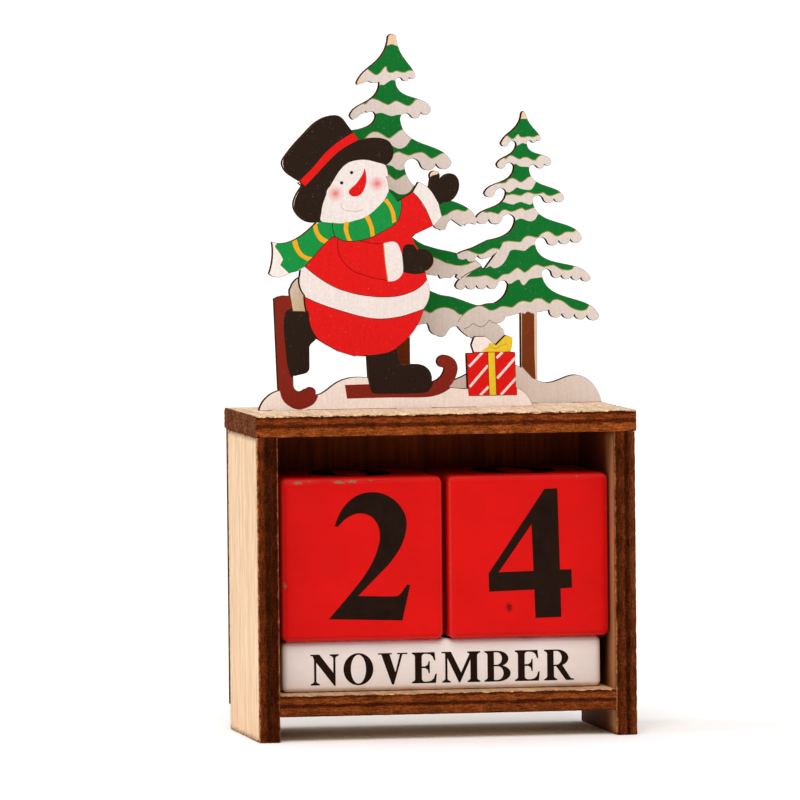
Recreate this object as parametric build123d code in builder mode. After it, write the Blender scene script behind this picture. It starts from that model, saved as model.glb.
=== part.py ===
from build123d import *
import os

# Loose blocks: two number cubes, and three square month bars that carry them.
cube = 40.0
cube_round = 1.8
bar_side = 12.4
bar_round = 0.9

# Clearances. Loose blocks lie a seat gap away from what carries or stops them.
seat_gap = 0.1
right_gap = 0.3
cube_gap = 1.25
cube_play = 3.2
bar_play = 4.2
recess = 6.0
finger_gap = 10.4

# Stock: thick plywood for the frame, thin plywood for the back and the cut-outs.
ply = 5.2
thin_ply = 2.5
foot = 6.2
overhang = 0.4

# Cut-outs on the top board, each held by tabs in slots.
tab_wide = 9.0
tab_fit = 0.1
rear_margin = 3.1
layer_gap = 12.0

bay_wide = 2 * cube + cube_play
frame_wide = bay_wide + 2 * ply
top_long = frame_wide + 2 * overhang
bar_long = bay_wide - bar_play
side_deep = recess + cube + seat_gap
top_deep = side_deep + thin_ply

shelf_top = foot + ply
bar_z = shelf_top + seat_gap
cube_z = bar_z + bar_side + seat_gap
side_high = cube_z + cube + finger_gap
top_z = side_high + ply

front_y = -top_deep / 2
side_back_y = front_y + side_deep
back_y = top_deep / 2
rear_face_y = back_y - rear_margin - thin_ply
front_face_y = rear_face_y - layer_gap - thin_ply
cube_y = side_back_y - seat_gap - cube / 2

right_cube_x = bay_wide / 2 - right_gap - cube / 2
left_cube_x = right_cube_x - cube - cube_gap
front_tabs = (-34, -3, 17)
rear_tabs = (-9, 35)


def bough(neck, tip, root, lobes, stem):
    """One fir bough: an S-shaped upper edge from neck to tip, then a snow-scalloped underside.

    The underside falls in lobes from the tip, and ends in a hollow that rounds up to the root.
    """
    side = 1 if tip[0] > neck[0] else -1
    middle = (neck[0] + 0.44 * (tip[0] - neck[0]), neck[1] + 0.56 * (tip[1] - neck[1]))
    count = round(lobes) + 2
    chord = Vector(*root) - Vector(*tip)
    steps = [Vector(*tip) + chord * (k / count) for k in range(count + 1)]
    width = (steps[1] - steps[0]).length
    with BuildSketch() as face:
        with BuildLine():
            Spline(neck, middle, tip, tangents=((0.1 * side, -1), (0.35 * side, -1)))
            for start, end in zip(steps[:-2], steps[1:-1]):
                SagittaArc(start, end, 0.40 * width * side)
            SagittaArc(steps[-2], steps[-1], -0.40 * width * side)
            Polyline(root, (stem, root[1]), (stem, neck[1]), neck)
        make_face()
    return face.sketch


def fir(apex, apex_half, left, right, stem):
    """A fir as the union of its boughs, each growing from the root of the one above it."""
    with BuildSketch() as tree:
        with Locations((apex[0], apex[1] - apex_half)):
            Circle(apex_half)
        for side, boughs in ((-1, left), (1, right)):
            neck = (apex[0] + side * apex_half, apex[1] - apex_half)
            for tip, root, lobes in boughs:
                add(bough(neck, tip, root, lobes, stem))
                neck = root
    return tree.sketch


def blob(*points):
    """A soft closed outline through a few points."""
    with BuildSketch() as face:
        with BuildLine():
            Spline(*points, periodic=True)
        make_face()
    return face.sketch


def soft_polygon(radius, *points):
    """A straight-sided outline with every corner rounded."""
    with BuildSketch() as face:
        with BuildLine():
            Polyline(*points, close=True)
        make_face()
        fillet(face.vertices(), radius)
    return face.sketch


def drift(*crest):
    """A snow drift: a soft crest line closed by the flat base."""
    with BuildSketch() as face:
        with BuildLine():
            Spline(*crest)
            Line(crest[-1], crest[0])
        make_face()
    return face.sketch


def cut_plane(face_y):
    """Drawing plane of a cut-out: X to the right, Y up from the top board, on its rear face."""
    return Plane(origin=(0, face_y + thin_ply, top_z), x_dir=(1, 0, 0), z_dir=(0, -1, 0))


# Wooden frame: two sides that end in feet, a shelf between them, a thin back and a top board.
with BuildPart() as left_side:
    with Locations((-bay_wide / 2 - ply / 2, front_y + side_deep / 2, 0)):
        Box(ply, side_deep, side_high, align=(Align.CENTER, Align.CENTER, Align.MIN))

with BuildPart() as right_side:
    with Locations((bay_wide / 2 + ply / 2, front_y + side_deep / 2, 0)):
        Box(ply, side_deep, side_high, align=(Align.CENTER, Align.CENTER, Align.MIN))

with BuildPart() as shelf:
    with Locations((0, front_y + side_deep / 2, foot)):
        Box(bay_wide, side_deep, ply, align=(Align.CENTER, Align.CENTER, Align.MIN))

with BuildPart() as back_panel:
    with Locations((0, side_back_y + thin_ply / 2, foot)):
        Box(frame_wide, thin_ply, side_high - foot, align=(Align.CENTER, Align.CENTER, Align.MIN))

with BuildPart() as top_board:
    with BuildSketch(Plane.XY.offset(side_high)):
        Rectangle(top_long, top_deep)
        with Locations([(x, front_face_y + thin_ply / 2) for x in front_tabs]):
            Rectangle(tab_wide + 2 * tab_fit, thin_ply + 2 * tab_fit, mode=Mode.SUBTRACT)
        with Locations([(x, rear_face_y + thin_ply / 2) for x in rear_tabs]):
            Rectangle(tab_wide + 2 * tab_fit, thin_ply + 2 * tab_fit, mode=Mode.SUBTRACT)
    extrude(amount=ply)

# Rear cut-out: a tall fir and a smaller one that grow from a snow drift.
tall_apex = (-5.1, 92.0)
tall_apex_round = 1.1
tall_stem = -5.6
tall_trunk = (-3.8, 0)
tall_trunk_wide = 5.0
tall_trunk_high = 24.0
tall_left = (
    ((-14.1, 80.0), (-8.4, 79.7), 0),
    ((-15.9, 72.0), (-9.4, 71.8), 0),
    ((-21.0, 61.5), (-11.5, 61.0), 1),
    ((-25.0, 50.0), (-13.5, 49.5), 1),
    ((-27.0, 39.5), (-14.0, 38.5), 2),
    ((-31.4, 29.0), (-6.3, 21.0), 1),
)
tall_right = (
    ((0.7, 81.7), (-4.3, 80.2), 1),
    ((4.5, 73.4), (-3.2, 70.8), 1),
    ((9.6, 60.0), (-2.3, 59.4), 1),
    ((15.9, 45.6), (1.0, 44.5), 2),
    ((17.4, 33.2), (2.5, 31.2), 2),
    ((22.6, 17.2), (-1.3, 19.8), 3),
)
small_apex = (27.9, 72.5)
small_apex_round = 0.7
small_stem = 27.9
small_trunk = (28.65, 0)
small_trunk_wide = 4.1
small_trunk_high = 24.0
small_left = (
    ((22.0, 64.6), (25.9, 64.3), 0),
    ((20.9, 59.4), (25.3, 58.6), 0),
    ((17.7, 52.3), (23.2, 52.4), 0),
    ((15.5, 46.0), (25.4, 45.6), 1),
    ((10.9, 36.9), (21.0, 37.0), 2),
    ((10.2, 29.5), (23.5, 29.5), 3),
    ((11.5, 20.2), (26.6, 22.4), 2),
)
small_right = (
    ((32.1, 65.8), (28.6, 64.4), 1),
    ((34.7, 60.0), (29.1, 58.0), 1),
    ((37.9, 50.9), (29.9, 50.4), 1),
    ((42.3, 40.9), (30.4, 39.8), 2),
    ((44.4, 30.8), (32.0, 32.4), 3),
    ((46.5, 21.4), (30.7, 22.8), 3),
)
# Lumps of snow join the boughs where the two firs meet.
snow_lumps = ((13.4, 36.6), (14.0, 32.2), (19.1, 21.0))
snow_lump_round = 1.1
rear_crest = ((-17, 0), (-13, 2.6), (-5, 4.0), (4, 4.8), (10.7, 6.5), (16.5, 9.1), (22, 10.0), (26.7, 8.9),
              (30.1, 6.0), (33.5, 5.1), (37, 6.1), (40.3, 6.9), (43.5, 5.7), (45.9, 2.8), (46.9, 0))
with BuildPart() as tree_cutout:
    with BuildSketch(cut_plane(rear_face_y)):
        add(fir(tall_apex, tall_apex_round, tall_left, tall_right, tall_stem))
        add(fir(small_apex, small_apex_round, small_left, small_right, small_stem))
        with Locations(*snow_lumps):
            Circle(snow_lump_round)
        with Locations(tall_trunk):
            Rectangle(tall_trunk_wide, tall_trunk_high, align=(Align.CENTER, Align.MIN))
        with Locations(small_trunk):
            Rectangle(small_trunk_wide, small_trunk_high, align=(Align.CENTER, Align.MIN))
        add(drift(*rear_crest))
        with Locations([(x, (1 - ply) / 2) for x in rear_tabs]):
            Rectangle(tab_wide, ply + 1)
    extrude(amount=thin_ply)

# Front cut-out: a skating snowman and a gift box on a snow drift.
front_crest = ((-41.6, 0), (-40.5, 2.4), (-37.3, 4.7), (-32, 4.6), (-26.6, 3.8), (-22.7, 6.3), (-17.5, 7.9),
               (-9, 6.6), (2, 5.6), (10.2, 4.6), (17, 5.2), (22.6, 4.7), (26.8, 0))
# The figure is drawn 73 mm high, and scaled to figure_high.
figure_high = 73.0
with BuildSketch() as figure:
    # Raised skate on the left: an upright blade that curls at the foot.
    with BuildLine():
        blade = Line((-35.65, 27.6), (-34.85, 6.0))
        TangentArc(blade @ 1, (-28.5, 4.1), tangent=blade % 1)
    trace(line_width=3.9)
    with Locations((-28.7, 4.3)):
        Circle(1.3)
    add(soft_polygon(1.6, (-35.2, 24.4), (-29, 24.2), (-26.8, 17.6), (-28.9, 15.9), (-28.9, 9.2),
                     (-33.4, 8.2), (-34.6, 9.8)))
    # Skate and boot on the snow, the blade curled up in front of the toe.
    with BuildLine():
        runner = Line((-20.1, 4.3), (1.0, 4.7))
        curl = TangentArc(runner @ 1, (6.4, 9.3), tangent=runner % 1)
        TangentArc(curl @ 1, (4.4, 11.3), tangent=curl % 1)
    trace(line_width=3.3)
    with Locations((4.4, 11.35)):
        Circle(1.5)
    with BuildLine():
        Polyline((-1.8, 10.8), (-6.3, 10.9), (-7.4, 16), (-14.7, 16), (-14.1, 3.6), (-1.8, 3.6))
        ThreePointArc((-1.8, 3.6), (1.6, 6.8), (-1.8, 10.8))
    make_face()
    # Round coat with its fur band, and the two mittens.
    with Locations((-14.9, 28.0)):
        Circle(15.1)
    with BuildLine():
        ThreePointArc((-30.2, 35.1), (-13.5, 27.5), (0.4, 32.1))
        ThreePointArc((0.4, 32.1), (1.3, 28.6), (-0.3, 24.4))
        ThreePointArc((-0.3, 24.4), (-13.0, 22.2), (-29.0, 27.3))
        ThreePointArc((-29.0, 27.3), (-31.3, 31.4), (-30.2, 35.1))
    make_face()
    with Locations((-3.4, 38.1)):
        Circle(2.3)
    with Locations((-0.5, 36.4)):
        Circle(2.8)
    add(soft_polygon(0.4, (-18, 44), (-9.0, 49.5), (-2.8, 53.2), (-1.3, 55.8), (0.8, 54.6), (3.5, 50.8),
                     (4.5, 47.0), (2.7, 45.0), (-3.1, 42.4), (-8, 36)))
    with Locations((2.75, 57.1)):
        Circle(1.3)
    add(soft_polygon(0.3, (1.2, 54.0), (1.7, 56.8), (3.8, 57.0), (4.5, 54.0), (7.4, 52.0), (3.9, 49.9)))
    with Locations(Location((6.0, 54.1), -22)):
        Ellipse(2.75, 3.7)
    # Scarf, head and top hat.
    add(blob((-26.6, 46.2), (-22.6, 42.3), (-18.5, 41.4), (-11.4, 43.1), (-7.3, 45.6), (-6.1, 49.2),
             (-8.8, 53.6), (-17, 57)))
    with BuildLine():
        Spline((-26.0, 46.9), (-30.6, 42.9), (-34.0, 41.3), (-38.0, 41.5))
        Spline((-38.0, 41.5), (-37.8, 38.9), (-38.8, 33.6))
        Spline((-38.8, 33.6), (-37.0, 32.7), (-33.5, 33.7), (-29.4, 36.0))
        Polyline((-29.4, 36.0), (-22, 30), (-18, 42), (-26.0, 46.9))
    make_face()
    with Locations((-17.1, 53.8)):
        Circle(8.4)
    add(soft_polygon(1.7, (-28, 53), (-35.2, 59.0), (-35.2, 61.7), (-27.0, 71.0), (-21.0, 73.0), (-14.5, 64)))
    with BuildLine():
        Spline((-26.4, 46.2), (-30.2, 46.7), (-32.5, 49.8), (-30.0, 55.6), (-23.5, 62.6), (-16.3, 66.0),
               (-11.8, 66.7), (-8.5, 65.7), (-7.5, 63.6), (-9.6, 59.8))
        Line((-9.6, 59.8), (-26.4, 46.2))
    make_face()
    # Gift box with its bow.
    add(soft_polygon(0.2, (10.3, 13.3), (22.5, 13.4), (22.7, 3.0), (10.6, 2.8)))
    add(soft_polygon(0.7, (12.4, 12.6), (11.5, 15.3), (12.3, 17.4), (15.2, 17.4), (17.9, 15.0), (17.9, 12.6)))
    add(soft_polygon(0.7, (16.6, 12.6), (17.2, 14.8), (20.2, 17.7), (21.9, 16.9), (21.7, 14.8), (21.0, 12.6)))

with BuildPart() as snowman_cutout:
    with BuildSketch(cut_plane(front_face_y)):
        add(drift(*front_crest))
        add(scale(figure.sketch, by=figure_high / 73.0, mode=Mode.PRIVATE))
        with Locations([(x, (1 - ply) / 2) for x in front_tabs]):
            Rectangle(tab_wide, ply + 1)
    extrude(amount=thin_ply)

# Number cubes, side by side on the bars, pushed back against the back panel.
with BuildPart() as left_cube:
    with Locations((left_cube_x, cube_y, cube_z + cube / 2)):
        Box(cube, cube, cube)
    fillet(left_cube.edges(), cube_round)

with BuildPart() as right_cube:
    with Locations((right_cube_x, cube_y, cube_z + cube / 2)):
        Box(cube, cube, cube)
    fillet(right_cube.edges(), cube_round)

# Month bars, three in a row on the shelf behind one another.
with BuildPart() as month_bar_rear:
    with Locations((0, side_back_y - seat_gap - bar_side / 2, bar_z + bar_side / 2)):
        Box(bar_long, bar_side, bar_side)
    fillet(month_bar_rear.edges(), bar_round)

with BuildPart() as month_bar_middle:
    with Locations((0, side_back_y - 2 * seat_gap - 1.5 * bar_side, bar_z + bar_side / 2)):
        Box(bar_long, bar_side, bar_side)
    fillet(month_bar_middle.edges(), bar_round)

with BuildPart() as month_bar_front:
    with Locations((0, side_back_y - 3 * seat_gap - 2.5 * bar_side, bar_z + bar_side / 2)):
        Box(bar_long, bar_side, bar_side)
    fillet(month_bar_front.edges(), bar_round)

left_side.part.label = "left_side"
right_side.part.label = "right_side"
shelf.part.label = "shelf"
back_panel.part.label = "back_panel"
top_board.part.label = "top_board"
tree_cutout.part.label = "tree_cutout"
snowman_cutout.part.label = "snowman_cutout"
left_cube.part.label = "left_cube"
right_cube.part.label = "right_cube"
month_bar_front.part.label = "month_bar_front"
month_bar_middle.part.label = "month_bar_middle"
month_bar_rear.part.label = "month_bar_rear"

os.makedirs("parts", exist_ok=True)
export_step(left_side.part, "parts/left_side.step")
export_step(right_side.part, "parts/right_side.step")
export_step(shelf.part, "parts/shelf.step")
export_step(back_panel.part, "parts/back_panel.step")
export_step(top_board.part, "parts/top_board.step")
export_step(tree_cutout.part, "parts/tree_cutout.step")
export_step(snowman_cutout.part, "parts/snowman_cutout.step")
export_step(left_cube.part, "parts/left_cube.step")
export_step(right_cube.part, "parts/right_cube.step")
export_step(month_bar_front.part, "parts/month_bar_front.step")
export_step(month_bar_middle.part, "parts/month_bar_middle.step")
export_step(month_bar_rear.part, "parts/month_bar_rear.step")
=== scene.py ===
import math
import bpy
import numpy as np
from mathutils import Matrix, Vector
from mathutils.geometry import delaunay_2d_cdt


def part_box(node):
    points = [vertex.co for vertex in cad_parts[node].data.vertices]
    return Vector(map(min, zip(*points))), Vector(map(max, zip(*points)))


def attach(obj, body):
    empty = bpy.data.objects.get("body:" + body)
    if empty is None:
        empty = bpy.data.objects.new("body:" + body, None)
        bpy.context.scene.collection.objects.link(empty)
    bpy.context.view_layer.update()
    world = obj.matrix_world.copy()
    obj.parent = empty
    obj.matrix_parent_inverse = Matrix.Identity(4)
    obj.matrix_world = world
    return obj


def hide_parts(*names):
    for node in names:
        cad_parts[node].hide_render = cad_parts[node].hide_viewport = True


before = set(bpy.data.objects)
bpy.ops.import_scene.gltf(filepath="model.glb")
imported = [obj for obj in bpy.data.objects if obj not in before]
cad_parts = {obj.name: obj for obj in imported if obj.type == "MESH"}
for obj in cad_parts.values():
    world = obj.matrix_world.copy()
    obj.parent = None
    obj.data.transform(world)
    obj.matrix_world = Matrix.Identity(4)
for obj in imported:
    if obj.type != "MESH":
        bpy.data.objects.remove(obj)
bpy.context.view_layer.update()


# Side panels: two upright boards of thick birch plywood, cut by laser, so their faces are pale and
# straight-grained and their edges are burnt brown in bands, one for each veneer. Their lower ends are the
# feet, and the other boards are glued to them.

X, Y, Z = range(3)


def box_mm(node):
    """The lower and the upper corner of a CAD node's box, in mm."""
    return [np.array(corner) * 1000 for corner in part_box(node)]


def sheet_outline(node, across, front):
    """Outlines of a flat CAD sheet, in mm: the edges that one triangle of its front has alone, in order.

    across is the axis of the thickness, and front is 1 or -1 for the side of it that is the front.
    Each corner knows the next one. Doubling the jumps gives every corner the lowest corner of its own ring,
    and how many steps away that is, and sorting by both gives the rings.
    """
    doublings = 16
    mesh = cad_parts[node].data
    points = np.empty(len(mesh.vertices) * 3)
    mesh.vertices.foreach_get("co", points)
    corner = np.empty(len(mesh.loops), int)
    mesh.loops.foreach_get("vertex_index", corner)
    points, same = np.unique(np.round(points.reshape(-1, 3) * 1000, 4), axis=0, return_inverse=True)
    tri = same.ravel()[corner].reshape(-1, 3)
    level = points[:, across].max() if front > 0 else points[:, across].min()
    tri = tri[(np.abs(points[tri, across] - level) < 0.001).all(1)]
    start = tri.ravel()
    end = np.roll(tri, -1, 1).ravel()
    alone = ~np.isin(start * len(points) + end, end * len(points) + start)
    start, end = start[alone], end[alone]
    rank = np.full(len(points), -1)
    rank[start] = np.arange(len(start))
    after = rank[end]
    lowest, jump = np.arange(len(start)), after.copy()
    for _ in range(doublings):
        lowest = np.minimum(lowest, lowest[jump])
        jump = jump[jump]
    home = lowest == np.arange(len(start))
    jump = np.where(home, np.arange(len(start)), after)
    steps = (~home).astype(int)
    for _ in range(doublings):
        steps = steps + steps[jump]
        jump = jump[jump]
    order = np.lexsort((-steps, np.where(home, 0, 1), lowest))
    flat = points[start][:, [a for a in range(3) if a != across]]
    return [flat[order[lowest[order] == ring]] for ring in np.flatnonzero(home)]


def side_normals(ring):
    """Outward direction at each point of a ring, longer at corners, so that shifted sides stay parallel."""
    along = np.roll(ring, -1, 0) - ring
    along /= np.linalg.norm(along, axis=1, keepdims=True)
    out = np.stack([along[:, 1], -along[:, 0]], 1)
    both = out + np.roll(out, 1, 0)
    return both / np.maximum((both * both).sum(1, keepdims=True) / 2, 0.5)


def in_short_steps(ring, step):
    """The same ring with points at most one step apart."""
    chord = np.roll(ring, -1, 0) - ring
    count = np.ceil(np.linalg.norm(chord, axis=1) / step).astype(int)
    which = np.repeat(np.arange(len(ring)), count)
    share = (np.arange(len(which)) - np.repeat(np.cumsum(count) - count, count)) / count[which]
    return ring[which] + chord[which] * share[:, None]


def anticlockwise(ring):
    """The ring, turned round if it runs clockwise."""
    x, y = ring.T
    return ring if (x * np.roll(y, -1) - np.roll(x, -1) * y).sum() > 0 else ring[::-1]


def mosaic(rings, solids, voids, fills=frozenset()):
    """Flat pieces between crossing outlines: Delaunay triangles that keep every outline as an edge.

    Points closer than weld are joined. Returns points, the triangles that lie inside a fill, or inside a
    solid and outside every void, and each one's topmost outline.
    """
    weld, inside_outlines = 0.002, 1
    first = np.cumsum([0] + [len(ring) for ring in rings])
    corners = [Vector(p) for ring in rings for p in anticlockwise(np.asarray(ring, float))]
    spans = [list(range(a, b)) for a, b in zip(first[:-1], first[1:])]
    points, _, tris, _, _, owners = delaunay_2d_cdt(corners, [], spans, inside_outlines, weld, True)
    owners = [set(own) for own in owners]
    kept = [k for k, own in enumerate(owners) if fills & own or solids & own and not voids & own]
    tris = np.array([tris[k] for k in kept])
    top = np.array([max(owners[k]) for k in kept])
    used, tris = np.unique(tris, return_inverse=True)
    return np.array([p[:] for p in points])[used], tris.reshape(-1, 3), top


def ripple(points, length, seed):
    """Smooth unevenness between about -1 and 1: a mean of sine waves in mixed directions."""
    waves, usual_peak = 9, 3.5
    draw = np.random.RandomState(seed)
    wave = draw.normal(size=(np.shape(points)[1], waves)) * 2 * math.pi / length / 1.5
    return np.sin(np.asarray(points) @ wave + draw.uniform(0, 7, waves)).sum(1) / usual_peak


def put_mesh(name, points, faces, finishes, which, smooth=32):
    """A mesh object at the origin, from points in mm. Edges that turn by over smooth degrees stay sharp.

    Of three finishes only the second, round the edge, is shaded smooth. A single finish is smooth all over.
    """
    mesh = bpy.data.meshes.new(name)
    mesh.from_pydata((np.asarray(points) * 0.001).tolist(), [], faces)
    which = np.asarray(which, dtype=np.int32)
    mesh.polygons.foreach_set("material_index", which)
    mesh.polygons.foreach_set("use_smooth", (which == 1) | (len(finishes) == 1))
    mesh.set_sharp_from_angle(angle=math.radians(smooth))
    for finish in finishes:
        mesh.materials.append(finish)
    piece = bpy.data.objects.new(name, mesh)
    bpy.context.scene.collection.objects.link(piece)
    return piece


def mark(piece, name, values):
    """A number for each point of a piece, which its finish reads."""
    values = np.asarray(values, np.float32)
    piece.data.attributes.new(name, "FLOAT", "POINT").data.foreach_set("value", values)


def cut_sheet(points, tris, spread, edge, chips=None):
    """A thick sheet: a flat mosaic, its copy on the far side, and an edge profile carried round its rim.

    spread(flat, depth) gives points in space, and edge lists the profile's depths and how far it stands out.
    chips(flat, side) tells how far each rim point is worn back, on the front, side 0, and the back, side 1.
    Returns points, faces, and 0, 1 or 2 for front, edge and back.
    """
    start, end = tris.ravel(), np.roll(tris, -1, 1).ravel()
    rim = ~np.isin(start * len(points) + end, end * len(points) + start)
    start, end = start[rim], end[rim]
    along = points[end] - points[start]
    along /= np.linalg.norm(along, axis=1, keepdims=True)
    both = np.zeros_like(points)
    out = np.stack([along[:, 1], -along[:, 0]], 1)
    np.add.at(both, start, out)
    np.add.at(both, end, out)
    ring = np.unique(start)
    normal = both[ring] / np.maximum((both[ring] ** 2).sum(1, keepdims=True) / 2, 0.5)
    front, back = points.copy(), points.copy()
    worn = [chips(points[ring], side) if chips else np.zeros(len(ring)) for side in (0, 1)]
    front[ring] -= normal * worn[0][:, None]
    back[ring] -= normal * worn[1][:, None]
    deepest = edge[-1][0] - worn[1]
    rows = [
        spread(points[ring] + normal * stand, np.clip(depth, worn[0], deepest))
        for depth, stand in edge[1:-1]]
    n, m = len(points), len(ring)
    rank = np.zeros(n, int)
    rank[ring] = np.arange(m)
    levels = [start] + [2 * n + k * m + rank[start] for k in range(len(rows))] + [n + start]
    nexts = [end] + [2 * n + k * m + rank[end] for k in range(len(rows))] + [n + end]
    walls = [
        np.stack([nexts[k], levels[k], levels[k + 1], nexts[k + 1]], 1) for k in range(len(levels) - 1)]
    walls = np.concatenate(walls)
    faces_of_sheet = [spread(front, np.full(n, edge[0][0])), spread(back, np.full(n, edge[-1][0]))]
    space = np.concatenate(faces_of_sheet + rows)
    faces = tris.tolist() + walls.tolist() + (tris[:, ::-1] + n).tolist()
    return space, faces, np.repeat([0, 1, 2], [len(tris), len(walls), len(tris)])


def shader(name, roughness, specular=0.4):
    """A new principled finish, with its node tree and two shorthands to add and join nodes."""
    finish = bpy.data.materials.new(name)
    finish.use_nodes = True
    tree = finish.node_tree
    body = tree.nodes["Principled BSDF"]
    body.inputs["Roughness"].default_value = roughness
    body.inputs["Specular IOR Level"].default_value = specular

    def add(kind, **values):
        node = tree.nodes.new("ShaderNode" + kind)
        for key, value in values.items():
            if key in node.inputs:
                node.inputs[key].default_value = value
            else:
                setattr(node, key, value)
        return node

    def join(source, target):
        tree.links.new(source, target)

    return finish, body, add, join


def streaks(add, join, scale, detail=3.0, rough=0.55, warp=0.0):
    """Noise on object coordinates, stretched by an uneven scale (per metre) into grain or streaks."""
    where = add("TexCoord")
    place = add("Mapping")
    place.inputs["Scale"].default_value = scale
    noise = add("TexNoise", Scale=1.0, Detail=detail, Roughness=rough, Distortion=warp)
    join(where.outputs["Object"], place.inputs["Vector"])
    join(place.outputs["Vector"], noise.inputs["Vector"])
    return noise.outputs["Fac"]


def ramp(add, join, value, *stops):
    """Colours along a value: stops are (place, colour)."""
    band = add("ValToRGB")
    line = band.color_ramp.elements
    while len(line) < len(stops):
        line.new(0.5)
    for stop, (place, colour) in zip(line, stops):
        stop.position = place
        stop.color = (*colour, 1.0)
    join(value, band.inputs["Fac"])
    return band.outputs["Color"]


def blend(add, join, share, one, two, mode="MIX"):
    """Two colours mixed by a share, which may be a number or a socket."""
    mix = add("Mix", data_type="RGBA", blend_type=mode)
    for value, socket in ((share, mix.inputs[0]), (one, mix.inputs[6]), (two, mix.inputs[7])):
        if isinstance(value, (int, float)):
            socket.default_value = value
        elif isinstance(value, tuple):
            socket.default_value = (*value, 1.0)
        else:
            join(value, socket)
    return mix.outputs[2]


def even(share):
    """The same share of red, green and blue."""
    return (share, share, share)


def place_along(add, join, axis):
    """How far along an axis a point of the piece lies, in metres."""
    where = add("TexCoord")
    parts = add("SeparateXYZ")
    join(where.outputs["Object"], parts.inputs[0])
    return parts.outputs[axis]


def between(add, join, value, low, high):
    """0 where a value is low, 1 where it is high, and straight in between."""
    span = add("MapRange")
    join(value, span.inputs[0])
    span.inputs[1].default_value = low
    span.inputs[2].default_value = high
    return span.outputs[0]


def weighted(add, join, value, weight, base):
    """A value times a weight, plus a base."""
    total = add("Math", operation="MULTIPLY_ADD")
    join(value, total.inputs[0])
    total.inputs[1].default_value = weight
    join(base, total.inputs[2])
    return total.outputs[0]


def relief(add, join, body, height, depth):
    """Bump from a height, its depth in mm."""
    bump = add("Bump", Strength=1.0, Distance=depth * 0.001)
    join(height, bump.inputs["Height"])
    join(bump.outputs["Normal"], body.inputs["Normal"])


def birch_face(name, grain, pale, tan, dark, scorch=0.5, shade_span=None, pits=0.30):
    """Rotary-cut birch: broad tan figure, fibres and pores along the axis grain, and a scorched fringe.

    The attribute rim falls from 0.5 at the edge to 0 a little way in, and noise breaks the fringe up.
    shade_span gives two places from front to back, in mm, between which the wood darkens: painted shade that
    deepens into the box.
    """
    burnt, shade_brown, unstained = (0.13, 0.034, 0.009), (0.15, 0.026, 0.005), even(1.0)
    finish, body, add, join = shader(name, 0.65, 0.05)
    stretch = ((300.0, 14.0), (2100.0, 110.0), (4200.0, 330.0))
    scales = [[slow if axis == grain else fast for axis in (X, Y, Z)] for fast, slow in stretch]
    broad, fine, pores = [streaks(add, join, scale, 4.0, 0.62, 0.3) for scale in scales]
    colour = ramp(add, join, broad, (0.32, tan), (0.64, pale))
    lines = ramp(add, join, fine, (0.34, (0.66, 0.54, 0.42)), (0.56, unstained))
    colour = blend(add, join, 0.75, colour, lines, "MULTIPLY")
    flecks = ramp(add, join, pores, (pits, even(2 * pits - 0.22)), (pits + 0.07, even(0.0)))
    colour = blend(add, join, flecks, colour, dark)
    # Painted shade: the wood darkens from the front of the box towards the back.
    if shade_span:
        depth = between(add, join, place_along(add, join, Y), *(0.001 * y for y in shade_span))
        shade_share = blend(add, join, depth, even(0.0), even(0.94))
        colour = blend(add, join, shade_share, colour, shade_brown)
    rim = add("Attribute", attribute_name="rim")
    reach = weighted(add, join, streaks(add, join, even(1700.0), 4.0, 0.7), 0.45, rim.outputs["Fac"])
    fringe = ramp(add, join, reach, (0.65 - 0.15 * scorch, even(0.0)), (0.78 - 0.15 * scorch, even(0.8)))
    join(blend(add, join, fringe, colour, burnt), body.inputs["Base Color"])
    relief(add, join, body, fine, 0.05)
    return finish


def burnt_edge(name, node, across, stripes, ends=None):
    """A laser-cut plywood edge: scorched bands across the thickness, broken up by streaks, crumbs and soot.

    stripes are (share of the thickness, colour) from the low side to the high side, and noise shifts them by
    up to half of sway. Further than ends from the middle, in mm to the left and right, the edge is one even
    dark colour: painted shade on the board's ends.
    """
    sway, shaded_ends = 0.26, (0.15, 0.054, 0.030)
    finish, body, add, join = shader(name, 0.6, 0.0)
    wander = streaks(add, join, [1100.0 if axis == across else 420.0 for axis in (X, Y, Z)], 5.0, 0.7)
    low, high = [0.001 * corner[across] for corner in box_mm(node)]
    place = between(add, join, place_along(add, join, across), low, high)
    shift = add("Math", operation="SUBTRACT")
    join(weighted(add, join, wander, sway, place), shift.inputs[0])
    shift.inputs[1].default_value = sway / 2
    colour = ramp(add, join, shift.outputs[0], *stripes)
    # Painted shade: the board's ends are darker than its front.
    if ends:
        far = add("Math", operation="ABSOLUTE")
        join(place_along(add, join, X), far.inputs[0])
        cut = between(add, join, far.outputs[0], 0.001 * ends - 0.0001, 0.001 * ends)
        colour = blend(add, join, cut, colour, shaded_ends)
    streak = streaks(add, join, [3400.0 if axis == across else 480.0 for axis in (X, Y, Z)], 5.0, 0.7)
    crumbs = streaks(add, join, even(2300.0), 3.0, 0.7)
    soot = streaks(add, join, even(240.0), 3.0)
    for share, noise, dull, bright in (
            (0.9, streak, (0.3, (0.2, 0.16, 0.13)), (0.7, (1.7, 1.6, 1.3))),
            (0.7, crumbs, (0.35, (0.4, 0.35, 0.3)), (0.68, even(1.6))),
            (0.6, soot, (0.35, (0.55, 0.5, 0.48)), (0.62, even(1.2)))):
        colour = blend(add, join, share, colour, ramp(add, join, noise, dull, bright), "MULTIPLY")
    join(colour, body.inputs["Base Color"])
    relief(add, join, body, crumbs, 0.14)
    return finish


birch_pale = (0.91, 0.68, 0.475)
birch_tan = (0.78, 0.52, 0.32)
birch_dark = (0.46, 0.25, 0.12)


def spread_along(across, level, front):
    """Turns flat points and depths into space: the flat axes keep their order, and depth runs inwards."""
    others = [a for a in range(3) if a != across]

    def spread(flat, depth):
        space = np.empty((len(flat), 3))
        space[:, others] = flat
        space[:, across] = level - front * depth
        return space

    return spread


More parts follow.
